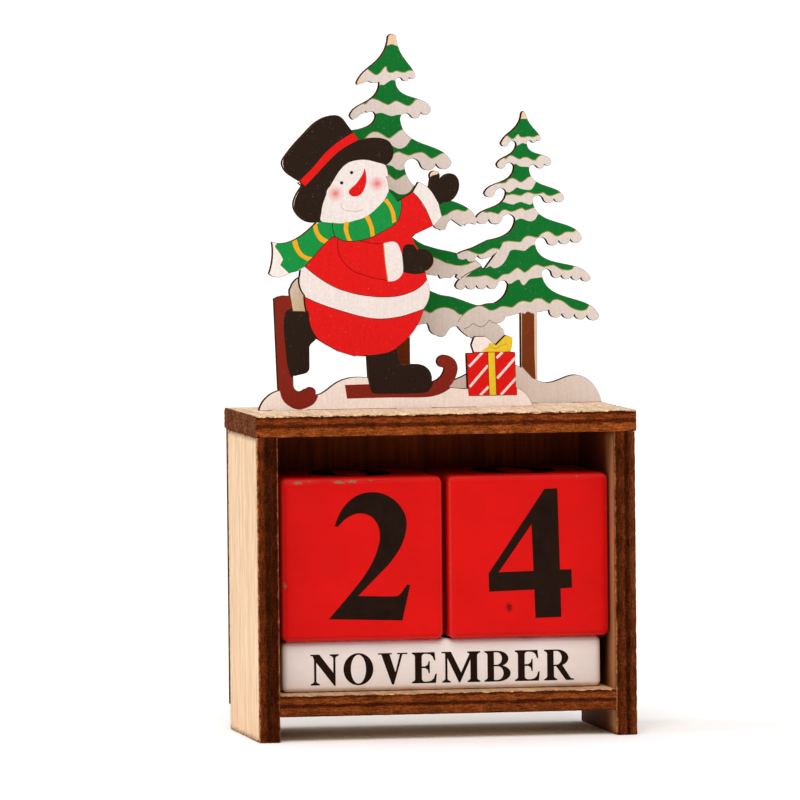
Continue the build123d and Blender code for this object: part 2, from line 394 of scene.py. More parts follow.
def board(name, node, across, front, finishes, chip, seed, fringe=1.3):
    """A plywood board on its CAD outline: veneers stand out between glue lines, and the arrises are torn.

    The attribute rim falls evenly with the distance from the nearest side, from 0.5 to 0 one fringe away.
    Rings inside each outline carry it. The faces end one inset inside the outline, and the edge bulges out.
    """
    inset = 0.16
    low, high = box_mm(node)
    thick = high[across] - low[across]
    level = high[across] if front > 0 else low[across]
    outlines = sheet_outline(node, across, front)
    rims = [in_short_steps(ring, 0.45) for ring in outlines]
    rims = [ring - inset * side_normals(ring) for ring in rims]
    fades = [
        in_short_steps(ring - away * side_normals(ring), 0.6 + away / 4)
        for ring in outlines for away in (1.2, 2.6, 5.5)]
    outer = int(np.argmax([np.ptp(ring, 0).prod() for ring in rims]))
    points, tris, _ = mosaic(rims + fades, {outer}, set(range(len(rims))) - {outer})
    start, end = [np.concatenate([np.roll(ring, k, 0) for ring in outlines]) for k in (0, -1)]
    away = points[:, None] - start
    along = np.clip((away * (end - start)).sum(2) / ((end - start) ** 2).sum(1), 0, 1)
    gap = np.linalg.norm(away - along[..., None] * (end - start), axis=2).min(1)
    rim = np.clip(0.5 - 0.5 * (gap - inset) / fringe, 0, 0.5)
    share = np.array([0.0, 0.03, 0.10, 0.22, 0.33, 0.36, 0.5, 0.64, 0.67, 0.78, 0.90, 0.97, 1.0])
    bulge = np.array([0.0, 0.10, 0.13, 0.15, 0.14, 0.09, 0.16, 0.09, 0.14, 0.15, 0.13, 0.10, 0.0])

    def torn(flat, side):
        rough = ripple(flat, 2.6, seed + side) + 0.8 * ripple(flat, 1.0, seed + 7 + side)
        return chip * np.clip(rough + 0.1, 0, 1.6)

    edge = list(zip(share * thick, bulge))
    space, faces, which = cut_sheet(points, tris, spread_along(across, level, front), edge, torn)
    piece = put_mesh(name, space, faces, finishes, which)
    mark(piece, "rim", np.concatenate([rim, rim, np.full(len(space) - 2 * len(rim), 0.5)]))
    return piece


upright = birch_face("birch_upright", Z, birch_pale, birch_tan, birch_dark, scorch=0.3)
# The side faces that look into the box are a darker birch than the outer ones, and darken further towards
# the back: painted shade.
inner_shaded = birch_face(
    "birch_inner_shaded", Z, (0.62, 0.31, 0.14), (0.50, 0.24, 0.09), birch_dark, scorch=0.7, shade_span=(-23.8, -11.0))
left_bands = (
    (0.0, (0.46, 0.20, 0.085)), (0.06, (0.13, 0.027, 0.008)), (0.30, (0.11, 0.022, 0.006)),
    (0.42, (0.034, 0.010, 0.004)), (0.56, (0.040, 0.010, 0.004)), (0.66, (0.058, 0.010, 0.003)),
    (0.92, (0.042, 0.007, 0.002)), (1.0, (0.32, 0.13, 0.055)))
right_bands = (
    (0.0, (0.34, 0.15, 0.065)), (0.08, (0.055, 0.010, 0.003)), (0.30, (0.10, 0.021, 0.006)),
    (0.42, (0.13, 0.028, 0.007)), (0.52, (0.034, 0.009, 0.004)), (0.64, (0.045, 0.011, 0.004)),
    (0.74, (0.11, 0.025, 0.007)), (1.0, (0.15, 0.040, 0.012)))
for side, bands, seed in (("left", left_bands, 3), ("right", right_bands, 8)):
    node = side + "_side"
    side_edge = burnt_edge(side + "_edge", node, X, bands)
    faces = [inner_shaded, side_edge, upright] if side == "left" else [upright, side_edge, inner_shaded]
    side_board = board(side + "_side_board", node, X, 1, faces, chip=0.32, seed=seed, fringe=5.0)
    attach(side_board, "frame")
    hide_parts(node)


# Shelf: a thick plywood board glued between the sides, above the feet. The month bars stand on it, and its
# burnt front edge is the lower rail of the frame.

level = birch_face("birch_level", X, birch_pale, birch_tan, birch_dark)
# The shelf's upper face, inside the box, is a darker birch than its underside: painted shade.
shaded_level = birch_face(
    "birch_shaded_level", Y, (0.66, 0.43, 0.26), (0.40, 0.22, 0.11), (0.12, 0.05, 0.018), scorch=0.8)
shelf_edge = burnt_edge(
    "shelf_edge", "shelf", Z,
    ((0.0, (0.10, 0.022, 0.007)), (0.08, (0.16, 0.038, 0.010)), (0.38, (0.20, 0.050, 0.012)),
     (0.46, (0.065, 0.013, 0.005)), (0.56, (0.060, 0.012, 0.005)), (0.64, (0.24, 0.062, 0.015)),
     (0.84, (0.19, 0.045, 0.011)), (0.89, (0.07, 0.015, 0.005)), (0.96, (0.09, 0.022, 0.007)),
     (0.98, (0.62, 0.40, 0.23))))
shelf_board = board("shelf_board", "shelf", Z, 1, [shaded_level, shelf_edge, level], chip=0.3, seed=21)
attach(shelf_board, "frame")
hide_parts("shelf")


# Back panel: a sheet of thin plywood glued to the rear edges of the sides. Its face towards the box, which
# shows above the cubes, is a very dark reddish birch: painted shade.

# Painted shade: a very dark birch for the faces deep in the box, the back panel's front face and the top
# board's underside.
painted_shade_face = birch_face("birch_painted_shade", Z, (0.40, 0.073, 0.008), (0.22, 0.038, 0.004), (0.08, 0.014, 0.002))
thin_edge = burnt_edge(
    "back_edge", "back_panel", Y,
    ((0.0, (0.16, 0.06, 0.02)), (0.3, (0.05, 0.016, 0.006)), (0.7, (0.09, 0.03, 0.009)),
     (1.0, (0.2, 0.085, 0.03))))
back_sheet = board("back_sheet", "back_panel", Y, -1, [painted_shade_face, thin_edge, level], chip=0.12, seed=31)
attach(back_sheet, "frame")
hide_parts("back_panel")


# Top board: thick plywood glued over the sides and the back, a little proud of them. Narrow slots near its
# rear take the tabs of the cut-outs. The upper veneer is chipped pale along the front.

top_edge = burnt_edge(
    "top_edge", "top_board", Z,
    ((0.0, (0.30, 0.080, 0.020)), (0.10, (0.27, 0.066, 0.015)), (0.36, (0.25, 0.058, 0.013)),
     (0.44, (0.080, 0.016, 0.005)), (0.56, (0.075, 0.015, 0.005)), (0.64, (0.22, 0.048, 0.011)),
     (0.82, (0.18, 0.038, 0.010)), (0.88, (0.06, 0.013, 0.004)), (0.935, (0.08, 0.018, 0.006)),
     (0.955, (0.74, 0.53, 0.35))),
    ends=46.9)
top_face = birch_face(
    "birch_top", Y, (0.93, 0.72, 0.53), (0.74, 0.52, 0.34), (0.20, 0.085, 0.035), scorch=0.4, pits=0.40)
# Its underside takes the very dark birch of the back panel: painted shade under the top board.
top_plank = board(
    "top_plank", "top_board", Z, 1, [top_face, top_edge, painted_shade_face], chip=0.65, seed=41, fringe=1.6)
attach(top_plank, "frame")
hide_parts("top_board")


# Month bars: three square sticks of wood with eased edges, painted white and printed with a month on each
# of four sides. They lie loose on the shelf, one behind the other, and carry the cubes.

def eased_block(low, high, radius, step):
    """A block with round edges: a box grid q drawn in to p = c + r (q - c) / |q - c|.

    c is q kept one radius r inside the box, and the grid lines of an edge stand at r times the tangent of
    even angles. Returns points, faces, outward directions and, from 0 to 1, how far round an edge each is.
    """
    bend = radius * np.tan(np.linspace(0, math.pi / 4, 5))
    lines = [
        np.concatenate([a + radius - bend[:0:-1], np.linspace(a + radius, b - radius, int((b - a) / step)),
                        b - radius + bend[1:]])
        for a, b in zip(low, high)]
    grids, faces, count = [], [], 0
    for a in range(3):
        b, c = (a + 1) % 3, (a + 2) % 3
        u, v = np.meshgrid(lines[b], lines[c], indexing="ij")
        cell = np.arange(u.size).reshape(u.shape)
        quads = np.stack([cell[:-1, :-1], cell[1:, :-1], cell[1:, 1:], cell[:-1, 1:]], -1).reshape(-1, 4)
        for side, turned in ((high[a], quads), (low[a], quads[:, ::-1])):
            grid = np.empty((u.size, 3))
            grid[:, b], grid[:, c], grid[:, a] = u.ravel(), v.ravel(), side
            grids.append(grid)
            faces.append(turned + count)
            count += u.size
    grid, same = np.unique(np.round(np.concatenate(grids), 5), axis=0, return_inverse=True)
    core = np.clip(grid, np.add(low, radius), np.subtract(high, radius))
    out = (grid - core) / np.linalg.norm(grid - core, axis=1, keepdims=True)
    turn = np.clip((1 - np.abs(out).max(1)) / 0.29, 0, 1)
    return core + radius * out, same.ravel()[np.concatenate(faces)], out, turn


def painted(name, colour, deep, bare, edge_highlight, roughness, peel):
    """Brushed paint on wood: uneven depth of colour, faint grain, and a painted highlight on eased edges.

    colour and deep are its thin and thick coats, edge_highlight is the colour of the painted highlight on
    the eased edges. Where the attribute worn is high the wood is bare, and where it is negative the paint
    is darkened as painted shade in a dent.
    """
    finish, body, add, join = shader(name, roughness, 0.06)
    cloud = streaks(add, join, even(70.0), 3.0)
    grain = streaks(add, join, (180.0, 1400.0, 1400.0), 4.0, 0.6)
    shade = ramp(add, join, cloud, (0.3, deep), (0.7, colour))
    fibres = ramp(add, join, grain, (0.35, (0.75, 0.72, 0.7)), (0.6, even(1.0)))
    shade = blend(add, join, 0.10, shade, fibres, "MULTIPLY")
    # Painted highlight: the eased edges are paler, in place of the light they catch.
    eased = add("Attribute", attribute_name="eased")
    shade = blend(add, join, eased.outputs["Fac"], shade, edge_highlight)
    worn = add("Attribute", attribute_name="worn")
    ragged = weighted(add, join, streaks(add, join, even(1500.0), 5.0, 0.75), 1.3, worn.outputs["Fac"])
    # Painted shade: where worn is negative, in a dent, the paint turns dark red.
    dent_shade = ramp(add, join, ragged, (0.0, (0.3, 0.7, 0.6)), (0.3, even(1.0)))
    shade = blend(add, join, 1.0, shade, dent_shade, "MULTIPLY")
    hole = between(add, join, ragged, 1.22, 1.36)
    join(blend(add, join, hole, shade, bare), body.inputs["Base Color"])
    relief(add, join, body, grain, peel)
    return finish


def block(name, node, radius, step, finish, seed, rub, dents=()):
    """A painted block on its CAD box: edges rubbed in patches, and dents with a bell-shaped falloff.

    A dent is its place from the block's middle, its reach along each axis and its depth, all in mm, and how
    bare it is. Below 0 it darkens the paint instead, as painted shade in the dent.
    """
    low, high = box_mm(node)
    points, faces, out, turn = eased_block(low, high, radius, step)
    patches = 0.45 + 0.6 * ripple(points, 9.0, seed) + 0.35 * ripple(points, 2.5, seed + 1)
    worn = turn * np.clip(rub * patches, 0, 0.7)
    deep = 0.10 * worn
    for place, reach, depth, bare in dents:
        near = np.exp(-(((points - (low + high) / 2 - place) / reach) ** 2).sum(1))
        worn = np.where(np.abs(bare * near) > np.abs(worn), bare * near, worn)
        deep = deep + depth * near
    piece = put_mesh(name, points - out * deep[:, None], faces.tolist(), [finish], np.zeros(len(faces)), 60)
    mark(piece, "worn", worn)
    # Painted highlight: the share of the highlight colour, strongest part way round each eased edge.
    mark(piece, "eased", 0.45 * turn ** 3)
    return piece


def ellipse(x, y, wide, high, turns=(0, 360), count=40):
    """An ellipse, or an arc of one between two angles in degrees."""
    whole = turns[1] - turns[0] >= 360
    angle = np.radians(np.linspace(*turns, count, endpoint=not whole))
    return np.stack([x + wide * np.cos(angle), y + high * np.sin(angle)], 1)


def curve(points, closed=False):
    """A smooth line through points: on each span, a cubic with slopes from the points on either side."""
    fine = 5
    points = np.asarray(points, float)
    ends = points[[-1]] if closed else 2 * points[[0]] - points[[1]]
    tail = points[:2] if closed else 2 * points[[-1]] - points[[-2]]
    p = np.concatenate([ends, points, tail])
    a, b, c, d = p[:-3, None], p[1:-2, None], p[2:-1, None], p[3:, None]
    t = (np.arange(fine) / fine)[None, :, None]
    line = b + 0.5 * t * (c - a + t * (2 * a - 5 * b + 4 * c - d + t * (3 * (b - c) + d - a)))
    line = line.reshape(-1, 2)
    return line if closed else np.concatenate([line, points[-1:]])


def brush(line, wide):
    """A pen stroke as a ring: both sides of a line, half the pen's width away, which may vary along it."""
    line = np.asarray(line, float)
    along = np.gradient(line, axis=0)
    along /= np.linalg.norm(along, axis=1, keepdims=True)
    share = np.linspace(0, 1, len(line))
    half = np.interp(share, np.linspace(0, 1, np.size(wide)), np.atleast_1d(wide)) / 2
    side = np.stack([-along[:, 1], along[:, 0]], 1) * half[:, None]
    return np.concatenate([line - side, (line + side)[::-1]])


def stem(x, wide=0.225, low=0.0, high=1.0, foot=0.10, head=0.10):
    """An upright of a capital letter: its half-width swells by the cube of the nearness to a level serif."""
    near = np.array([0.0, 0.045, 0.055, 0.07, 0.09, 0.115, 0.15])
    swell = np.clip(1 - (near - 0.045) / 0.10, 0, 1) ** 3
    y = np.concatenate([low + near, high - near[::-1]])
    half = wide / 2 + np.concatenate([foot * swell, head * swell[::-1]])
    return np.concatenate([np.stack([x + half, y], 1), np.stack([x - half, y], 1)[::-1]])


def bowl(left, right, low, high, flat=0.35):
    """A half-round letter form: level at the top and bottom, then half an ellipse on the right."""
    middle = left + flat * (right - left)
    arc = ellipse(middle, (low + high) / 2, right - middle, (high - low) / 2, (-90, 90), 21)
    return np.concatenate([[(left, low)], arc, [(left, high)]])


def arm(left, right, y, beak):
    """A hairline arm that ends in a beak, which hangs down, or stands up if it is negative."""
    thin = math.copysign(0.05, beak)
    return np.array(
        [(left, y), (right, y), (right + 0.03, y - beak), (right - 0.015, y - beak),
         (right - 0.07, y - 0.50 * beak), (right - 0.15, y - 0.26 * beak), (right - 0.27, y - thin),
         (left, y - thin)])


def slab(left, right, y):
    """A level serif on the end of a slanting stroke."""
    return np.array([(left, y), (right, y), (right, y + 0.045), (left, y + 0.045)])


middle_arm = (
    (0.25, 0.54), (0.25, 0.49), (0.43, 0.485), (0.51, 0.43), (0.535, 0.32), (0.575, 0.32), (0.575, 0.71),
    (0.535, 0.71), (0.51, 0.60), (0.43, 0.545))
round_c = brush(
    ellipse(0.47, 0.5, 0.37, 0.485, (48, 318), 40),
    (0.07, 0.07, 0.15, 0.215, 0.225, 0.19, 0.11, 0.07, 0.05))
beak_c = ((0.735, 1.015), (0.775, 1.015), (0.785, 0.66), (0.745, 0.66), (0.66, 0.86), (0.68, 0.93))
letters = {
    "A": (0.967,
          [((0.16, 0.0), (0.09, 0.0), (0.43, 1.02), (0.50, 1.02), (0.46, 0.86)),
           ((0.40, 0.80), (0.50, 1.02), (0.86, 0.0), (0.62, 0.0)),
           ((0.24, 0.36), (0.66, 0.36), (0.66, 0.30), (0.22, 0.30)), slab(0.0, 0.29, 0),
           slab(0.55, 0.967, 0)],
          []),
    "B": (0.848, [stem(0.2), bowl(0.2, 0.78, 0.48, 1.0), bowl(0.2, 0.848, 0.0, 0.535)],
          [bowl(0.303, 0.565, 0.545, 0.95), bowl(0.303, 0.615, 0.05, 0.495)]),
    "C": (0.87, [round_c, beak_c], []),
    "D": (0.95, [stem(0.2), bowl(0.2, 0.95, 0.0, 1.0, 0.3)], [bowl(0.303, 0.71, 0.05, 0.95, 0.2)]),
    "E": (0.808, [stem(0.2), arm(0.2, 0.735, 1.0, 0.27), arm(0.2, 0.775, 0.0, -0.30), middle_arm], []),
    "F": (0.77, [stem(0.2), arm(0.2, 0.735, 1.0, 0.27), middle_arm], []),
    "G": (0.96, [round_c, beak_c, stem(0.73, 0.2, 0.03, 0.42, 0.0, 0.12)], []),
    "H": (1.03, [stem(0.2), stem(0.83), ((0.2, 0.47), (0.83, 0.47), (0.83, 0.535), (0.2, 0.535))], []),
    "I": (0.41, [stem(0.205)], []),
    "J": (0.62,
          [stem(0.40, 0.206, 0.25, 1.0, 0.0),
           brush(curve([(0.40, 0.32), (0.385, 0.15), (0.30, 0.02), (0.17, 0.02), (0.09, 0.12)]),
                 (0.206, 0.2, 0.1, 0.08, 0.15)),
           ellipse(0.11, 0.14, 0.10, 0.10, count=20)],
          []),
    "L": (0.79, [stem(0.2), arm(0.2, 0.755, 0.0, -0.34)], []),
    "M": (1.266,
          [stem(0.155, 0.075, 0.0, 0.97, 0.10, 0.0), stem(1.06),
           ((0.0, 1.0), (0.31, 1.0), (0.665, 0.27), (0.61, 0.0), (0.565, 0.0), (0.19, 0.80), (0.10, 0.955),
            (0.0, 0.955)),
           ((0.565, 0.0), (0.61, 0.0), (0.97, 0.79), (0.97, 1.0), (0.955, 1.0), (0.63, 0.30))],
          []),
    "N": (0.927,
          [stem(0.155, 0.075, 0.0, 0.97, 0.11, 0.0), stem(0.785, 0.075, 0.0, 1.0, 0.0, 0.11),
           ((0.0, 1.0), (0.295, 1.0), (0.75, 0.40), (0.822, 0.31), (0.822, -0.02), (0.775, -0.02),
            (0.19, 0.74), (0.115, 0.84), (0.07, 0.955), (0.0, 0.955))],
          []),
    "O": (0.98, [ellipse(0.49, 0.5, 0.49, 0.52)], [ellipse(0.49, 0.5, 0.248, 0.468)]),
    "P": (0.81, [stem(0.2), bowl(0.2, 0.81, 0.42, 1.0)], [bowl(0.303, 0.585, 0.47, 0.95)]),
    "R": (0.967,
          [stem(0.2), bowl(0.2, 0.79, 0.455, 1.0),
           ((0.36, 0.49), (0.59, 0.49), (0.865, 0.06), (0.967, 0.045), (0.967, 0.0), (0.705, 0.0))],
          [bowl(0.303, 0.57, 0.505, 0.95)]),
    "S": (0.70,
          [brush(curve([(0.585, 0.72), (0.50, 0.92), (0.33, 0.975), (0.17, 0.88), (0.17, 0.72),
                        (0.33, 0.58), (0.50, 0.43), (0.54, 0.25), (0.42, 0.06), (0.24, 0.03), (0.10, 0.16),
                        (0.06, 0.30)]),
                 (0.03, 0.05, 0.075, 0.16, 0.2, 0.215, 0.215, 0.2, 0.14, 0.075, 0.05, 0.03)),
           ((0.56, 1.02), (0.60, 1.02), (0.61, 0.68), (0.57, 0.68), (0.53, 0.86)),
           ((0.03, -0.02), (0.07, -0.02), (0.11, 0.16), (0.075, 0.34), (0.035, 0.34))],
          []),
    "T": (0.90, [stem(0.45), arm(0.45, 0.86, 1.0, 0.30), arm(0.45, 0.86, 1.0, 0.30) * (-1, 1) + (0.9, 0.0)],
          []),
    "U": (0.93,
          [stem(0.2, 0.206, 0.26, 1.0, 0.0), stem(0.775, 0.07, 0.26, 1.0, 0.0),
           brush(curve([(0.2, 0.33), (0.22, 0.14), (0.34, 0.03), (0.50, 0.01), (0.66, 0.06), (0.755, 0.18),
                        (0.775, 0.33)]),
                 (0.206, 0.2, 0.13, 0.09, 0.07, 0.07, 0.07))],
          []),
    "V": (0.967,
          [((0.09, 1.0), (0.365, 1.0), (0.58, 0.33), (0.52, -0.02), (0.45, -0.02)),
           ((0.73, 1.0), (0.815, 1.0), (0.52, -0.02), (0.455, -0.02), (0.535, 0.25)),
           slab(0.0, 0.45, 0.955), slab(0.625, 0.967, 0.955)],
          []),
    "Y": (0.967,
          [stem(0.50, 0.206, 0.0, 0.5, 0.10, 0.0), ((0.10, 1.0), (0.34, 1.0), (0.603, 0.46), (0.397, 0.40)),
           ((0.735, 1.0), (0.815, 1.0), (0.603, 0.43), (0.52, 0.45)), slab(0.0, 0.44, 0.955),
           slab(0.625, 0.967, 0.955)],
          [])}


def word(text, high, gap, base):
    """Letters set side by side and centred: solid rings and holes, in mm."""
    wide = np.array([letters[c][0] for c in text]) * high + gap
    left = np.cumsum(wide) - wide - (wide.sum() - gap) / 2
    return [
        [np.asarray(ring) * high + (x, base) for x, c in zip(left, text) for ring in letters[c][k]]
        for k in (1, 2)]


def print_on(name, node, prints, finish):
    """Ink on a block: each print's flat shapes, as films that stand proud and go a little into the wood.

    A print is its solid rings and holes, and two directions, one along the writing and one up it.
    """
    proud, film = 0.03, 0.08
    low, high = box_mm(node)
    points, faces = [], []
    for (solids, holes), along, up in prints:
        out = np.cross(along, up)
        centre = (low + high) / 2 + out * (high - low) / 2
        rings = list(solids) + list(holes)
        flat, tris, _ = mosaic(rings, set(range(len(solids))), set(range(len(solids), len(rings))))

        def spread(p, depth):
            return centre + p @ np.array([along, up], float) + out * (proud - depth)[:, None]

        space, shape, _ = cut_sheet(flat, tris, spread, [(0.0, 0.0), (film, 0.0)])
        start = sum(len(p) for p in points)
        faces += [[v + start for v in face] for face in shape]
        points.append(space)
    return put_mesh(name, np.concatenate(points), faces, [finish], np.zeros(len(faces)), 20)


def ink(name, colour, speck, amount):
    """Printing ink: a dark coat of uneven depth, with pin-holes where fine noise is over an amount."""
    finish, body, add, join = shader(name, 0.6, 0.03)
    thin = streaks(add, join, even(300.0), 4.0, 0.6)
    dots = streaks(add, join, even(2600.0), 1.0, 0.4)
    shade = ramp(
        add, join, thin, (0.3, tuple(0.8 * c for c in colour)), (0.7, tuple(1.25 * c for c in colour)))
    holes = ramp(add, join, dots, (amount, even(0.0)), (amount + 0.03, even(1.0)))
    join(blend(add, join, holes, shade, speck), body.inputs["Base Color"])
    relief(add, join, body, thin, 0.02)
    return finish


front, over = ((1, 0, 0), (0, 0, 1)), ((1, 0, 0), (0, 1, 0))
behind, under = ((1, 0, 0), (0, 0, -1)), ((1, 0, 0), (0, -1, 0))
letter_high, letter_gap, base_line = 7.55, 1.18, -4.53
bar_round, bar_step = 1.4, 1.6
white_paint = painted(
    "white_paint", colour=(0.87, 0.79, 0.735), deep=(0.82, 0.71, 0.65), bare=(0.55, 0.33, 0.18),
    edge_highlight=(0.88, 0.80, 0.75), roughness=0.5, peel=0.012)
black_ink = ink("black_ink", colour=(0.0150, 0.0062, 0.0036), speck=(0.30, 0.20, 0.14), amount=0.82)
year = (("front", "NOVEMBER DECEMBER SEPTEMBER OCTOBER"), ("middle", "JANUARY FEBRUARY MARCH APRIL"),
        ("rear", "MAY JUNE JULY AUGUST"))
for place, months in year:
    node = "month_bar_" + place
    bar = block("bar_" + place, node, bar_round, bar_step, white_paint, 50 + len(months), rub=0.55)
    sides = zip(months.split(), (front, over, behind, under))
    labels = [(word(text, letter_high, letter_gap, base_line), *side) for text, side in sides]
    names = print_on("months_" + place, node, labels, black_ink)
    for piece in (bar, names):
        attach(piece, place + "_bar")
    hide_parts(node)


# Number cubes: solid wooden cubes with eased edges, painted red and printed with a number on each side. They
# lie loose on the bars. The paint has chipped to the wood along some edges.

two = np.concatenate(
    [curve([(-6.84, 8.18), (-6.02, 10.41), (-4.52, 12.90), (-2.23, 15.02), (0.05, 16.04), (2.61, 16.33),
            (5.44, 15.80), (8.27, 14.06), (10.23, 11.50), (10.95, 8.96), (10.61, 5.88), (9.29, 2.54),
            (6.70, -1.06), (3.83, -3.95), (-1.19, -8.96)]),
     curve([(-1.19, -8.96), (7.47, -9.25), (9.19, -8.69), (10.28, -7.31), (10.91, -6.43)])[1:],
     [(11.71, -6.50), (9.69, -15.16)],
     curve([(-8.49, -14.50), (-3.03, -8.30), (0.42, -4.02), (2.73, -0.14), (4.04, 3.48), (4.32, 6.00),
            (3.81, 8.26), (2.55, 10.10), (1.13, 10.89), (-0.57, 11.20), (-2.27, 10.90), (-4.27, 9.81),
            (-6.13, 7.97)])])
four = (
    (4.01, 16.36), (7.21, 16.41), (7.69, -3.49), (10.55, -3.50), (10.65, -8.00), (7.79, -8.14),
    (7.93, -15.10), (1.49, -15.25), (1.27, -8.29), (-9.98, -8.57), (-10.05, -4.12))
numbers = {
    0: ([ellipse(0.3, 0.6, 10.0, 15.8)], [ellipse(0.3, 0.6, 3.7, 14.3)]),
    1: ([((-8.0, 11.4), (2.0, 16.4), (3.2, 16.4), (3.2, -11.0), (4.2, -13.4), (8.3, -14.3), (8.3, -15.2),
          (-8.3, -15.2), (-8.3, -14.3), (-4.2, -13.4), (-3.2, -11.0), (-3.2, 9.4), (-4.0, 11.0),
          (-5.6, 11.2), (-8.0, 10.4))],
        []),
    2: ([two], []),
    3: ([brush(curve([(-7.4, 10.2), (-3.6, 14.4), (1.6, 14.4), (4.4, 9.4), (2.6, 4.4), (-1.8, 1.8)]),
               (0.8, 3.4, 4.6, 6.2, 5.0, 2.2)),
         brush(curve([(-1.8, 1.9), (3.6, 0.0), (5.6, -5.4), (3.4, -11.6), (-2.6, -14.0), (-8.6, -12.2)]),
               (2.2, 5.4, 6.8, 5.4, 2.6, 3.6)),
         ellipse(-7.9, -11.8, 2.2, 2.2, count=24)],
        []),
    4: ([four], [((0.70, 7.76), (1.11, -3.70), (-7.60, -3.89))]),
    5: ([((-4.8, 16.0), (8.6, 16.0), (6.6, 10.6), (-4.8, 10.6), (-6.2, 5.2), (-7.6, 4.4)),
         brush(curve([(-6.8, 5.4), (0.4, 4.2), (5.0, -0.6), (5.0, -7.4), (0.8, -12.8), (-7.8, -13.0)]),
               (2.6, 4.8, 6.6, 6.4, 4.0, 3.0)),
         ellipse(-7.9, -12.4, 2.2, 2.2, count=24)],
        []),
    6: ([ellipse(0.4, -5.0, 9.2, 10.4),
         brush(curve([(8.2, 15.7), (1.6, 12.4), (-3.8, 5.6), (-5.4, -4.0)]), (0.9, 3.8, 6.0, 6.4))],
        [ellipse(0.8, -5.4, 3.4, 8.8)]),
    7: ([((-7.8, 16.0), (10.2, 16.0), (10.2, 14.8), (0.4, -15.2), (-4.6, -15.2), (5.0, 10.6), (-4.2, 10.6),
          (-6.6, 9.4), (-8.4, 5.8), (-9.4, 5.8))],
        []),
    8: ([ellipse(0.2, 8.5, 7.8, 7.8), ellipse(0.2, -6.9, 9.3, 8.9)],
        [ellipse(0.2, 8.9, 3.2, 6.5), ellipse(0.2, -7.2, 3.8, 7.3)])}
right, left = ((0, 1, 0), (0, 0, 1)), ((0, -1, 0), (0, 0, 1))
red_paint = painted(
    "red_paint", colour=(0.70, 0.0060, 0.0046), deep=(0.62, 0.0050, 0.0040), bare=(0.27, 0.16, 0.07),
    edge_highlight=(0.80, 0.055, 0.046), roughness=0.4, peel=0.012)
sides = (front, over, behind, under, right, left)
cube_round, cube_step = 1.8, 0.8
left_chips = (
    ((-16.0, -19.7, 18.9), (1.9, 0.9, 0.6), 0.25, 0.9), ((-13.0, -19.7, 19.1), (1.5, 0.8, 0.4), 0.2, 0.75),
    ((-5.6, -19.7, 18.9), (2.2, 0.9, 0.7), 0.25, 0.95), ((-2.4, -19.7, 19.1), (2.2, 0.9, 0.55), 0.25, 0.95),
    ((2.2, -19.7, 19.3), (1.5, 0.8, 0.45), 0.2, 0.8), ((-19.3, -19.5, -6.2), (0.9, 0.9, 1.2), 0.2, 0.95))
# On the right cube: a dent whose paint is darkened as painted shade, and a chip at the top edge.
shaded_dent_and_chip = (
    ((-5.0, -20.0, -12.5), (1.1, 1.5, 1.6), 0.15, -0.8), ((12.0, -19.5, 19.3), (0.7, 0.5, 0.5), 0.15, 0.8))
cubes = (("left", (2, 0, 1, 8, 6, 7), left_chips), ("right", (4, 0, 1, 3, 2, 5), shaded_dent_and_chip))
for side, shown, dents in cubes:
    node = side + "_cube"
    cube = block(
        side + "_number_cube", node, cube_round, cube_step, red_paint, 60 + len(dents), rub=0.5, dents=dents)
    digits = print_on(
        side + "_numbers", node, [(numbers[n], *axes) for n, axes in zip(shown, sides)], black_ink)
    for piece in (cube, digits):
        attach(piece, node)
    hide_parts(node)


# Fir cut-out: two snowy firs and a snow drift in one sheet of thin plywood, cut by laser and printed on the
# front. It stands in the top board by tabs. The print is a little short of the outline, so bare wood shows
# at some tips.

def rgb(red, green, blue):
    """A screen colour as the light that the shader needs."""
    return tuple(((c / 255 + 0.055) / 1.055) ** 2.4 for c in (red, green, blue))


def printed(name, grain):
    """Ink printed on birch: the mesh has its colour, the grain shows through, and pin-holes are bare."""
    finish, body, add, join = shader(name, 0.65, 0.04)
    tint = add("Attribute", attribute_name="ink")
    lines = streaks(add, join, [90.0 if axis == grain else 1900.0 for axis in (X, Y, Z)], 4.0, 0.6)
    mottle = streaks(add, join, even(1500.0), 4.0, 0.7)
    dots = streaks(add, join, even(3300.0), 1.0, 0.4)
    fibres = ramp(add, join, lines, (0.32, (0.72, 0.66, 0.6)), (0.58, even(1.0)))
    shade = blend(add, join, 0.20, tint.outputs["Color"], fibres, "MULTIPLY")
    cloud = ramp(add, join, mottle, (0.30, even(0.84)), (0.70, even(1.16)))
    shade = blend(add, join, 0.50, shade, cloud, "MULTIPLY")
    holes = ramp(add, join, dots, (0.75, even(0.0)), (0.79, even(0.5)))
    join(blend(add, join, holes, shade, (0.72, 0.55, 0.42)), body.inputs["Base Color"])
    relief(add, join, body, lines, 0.03)
    return finish


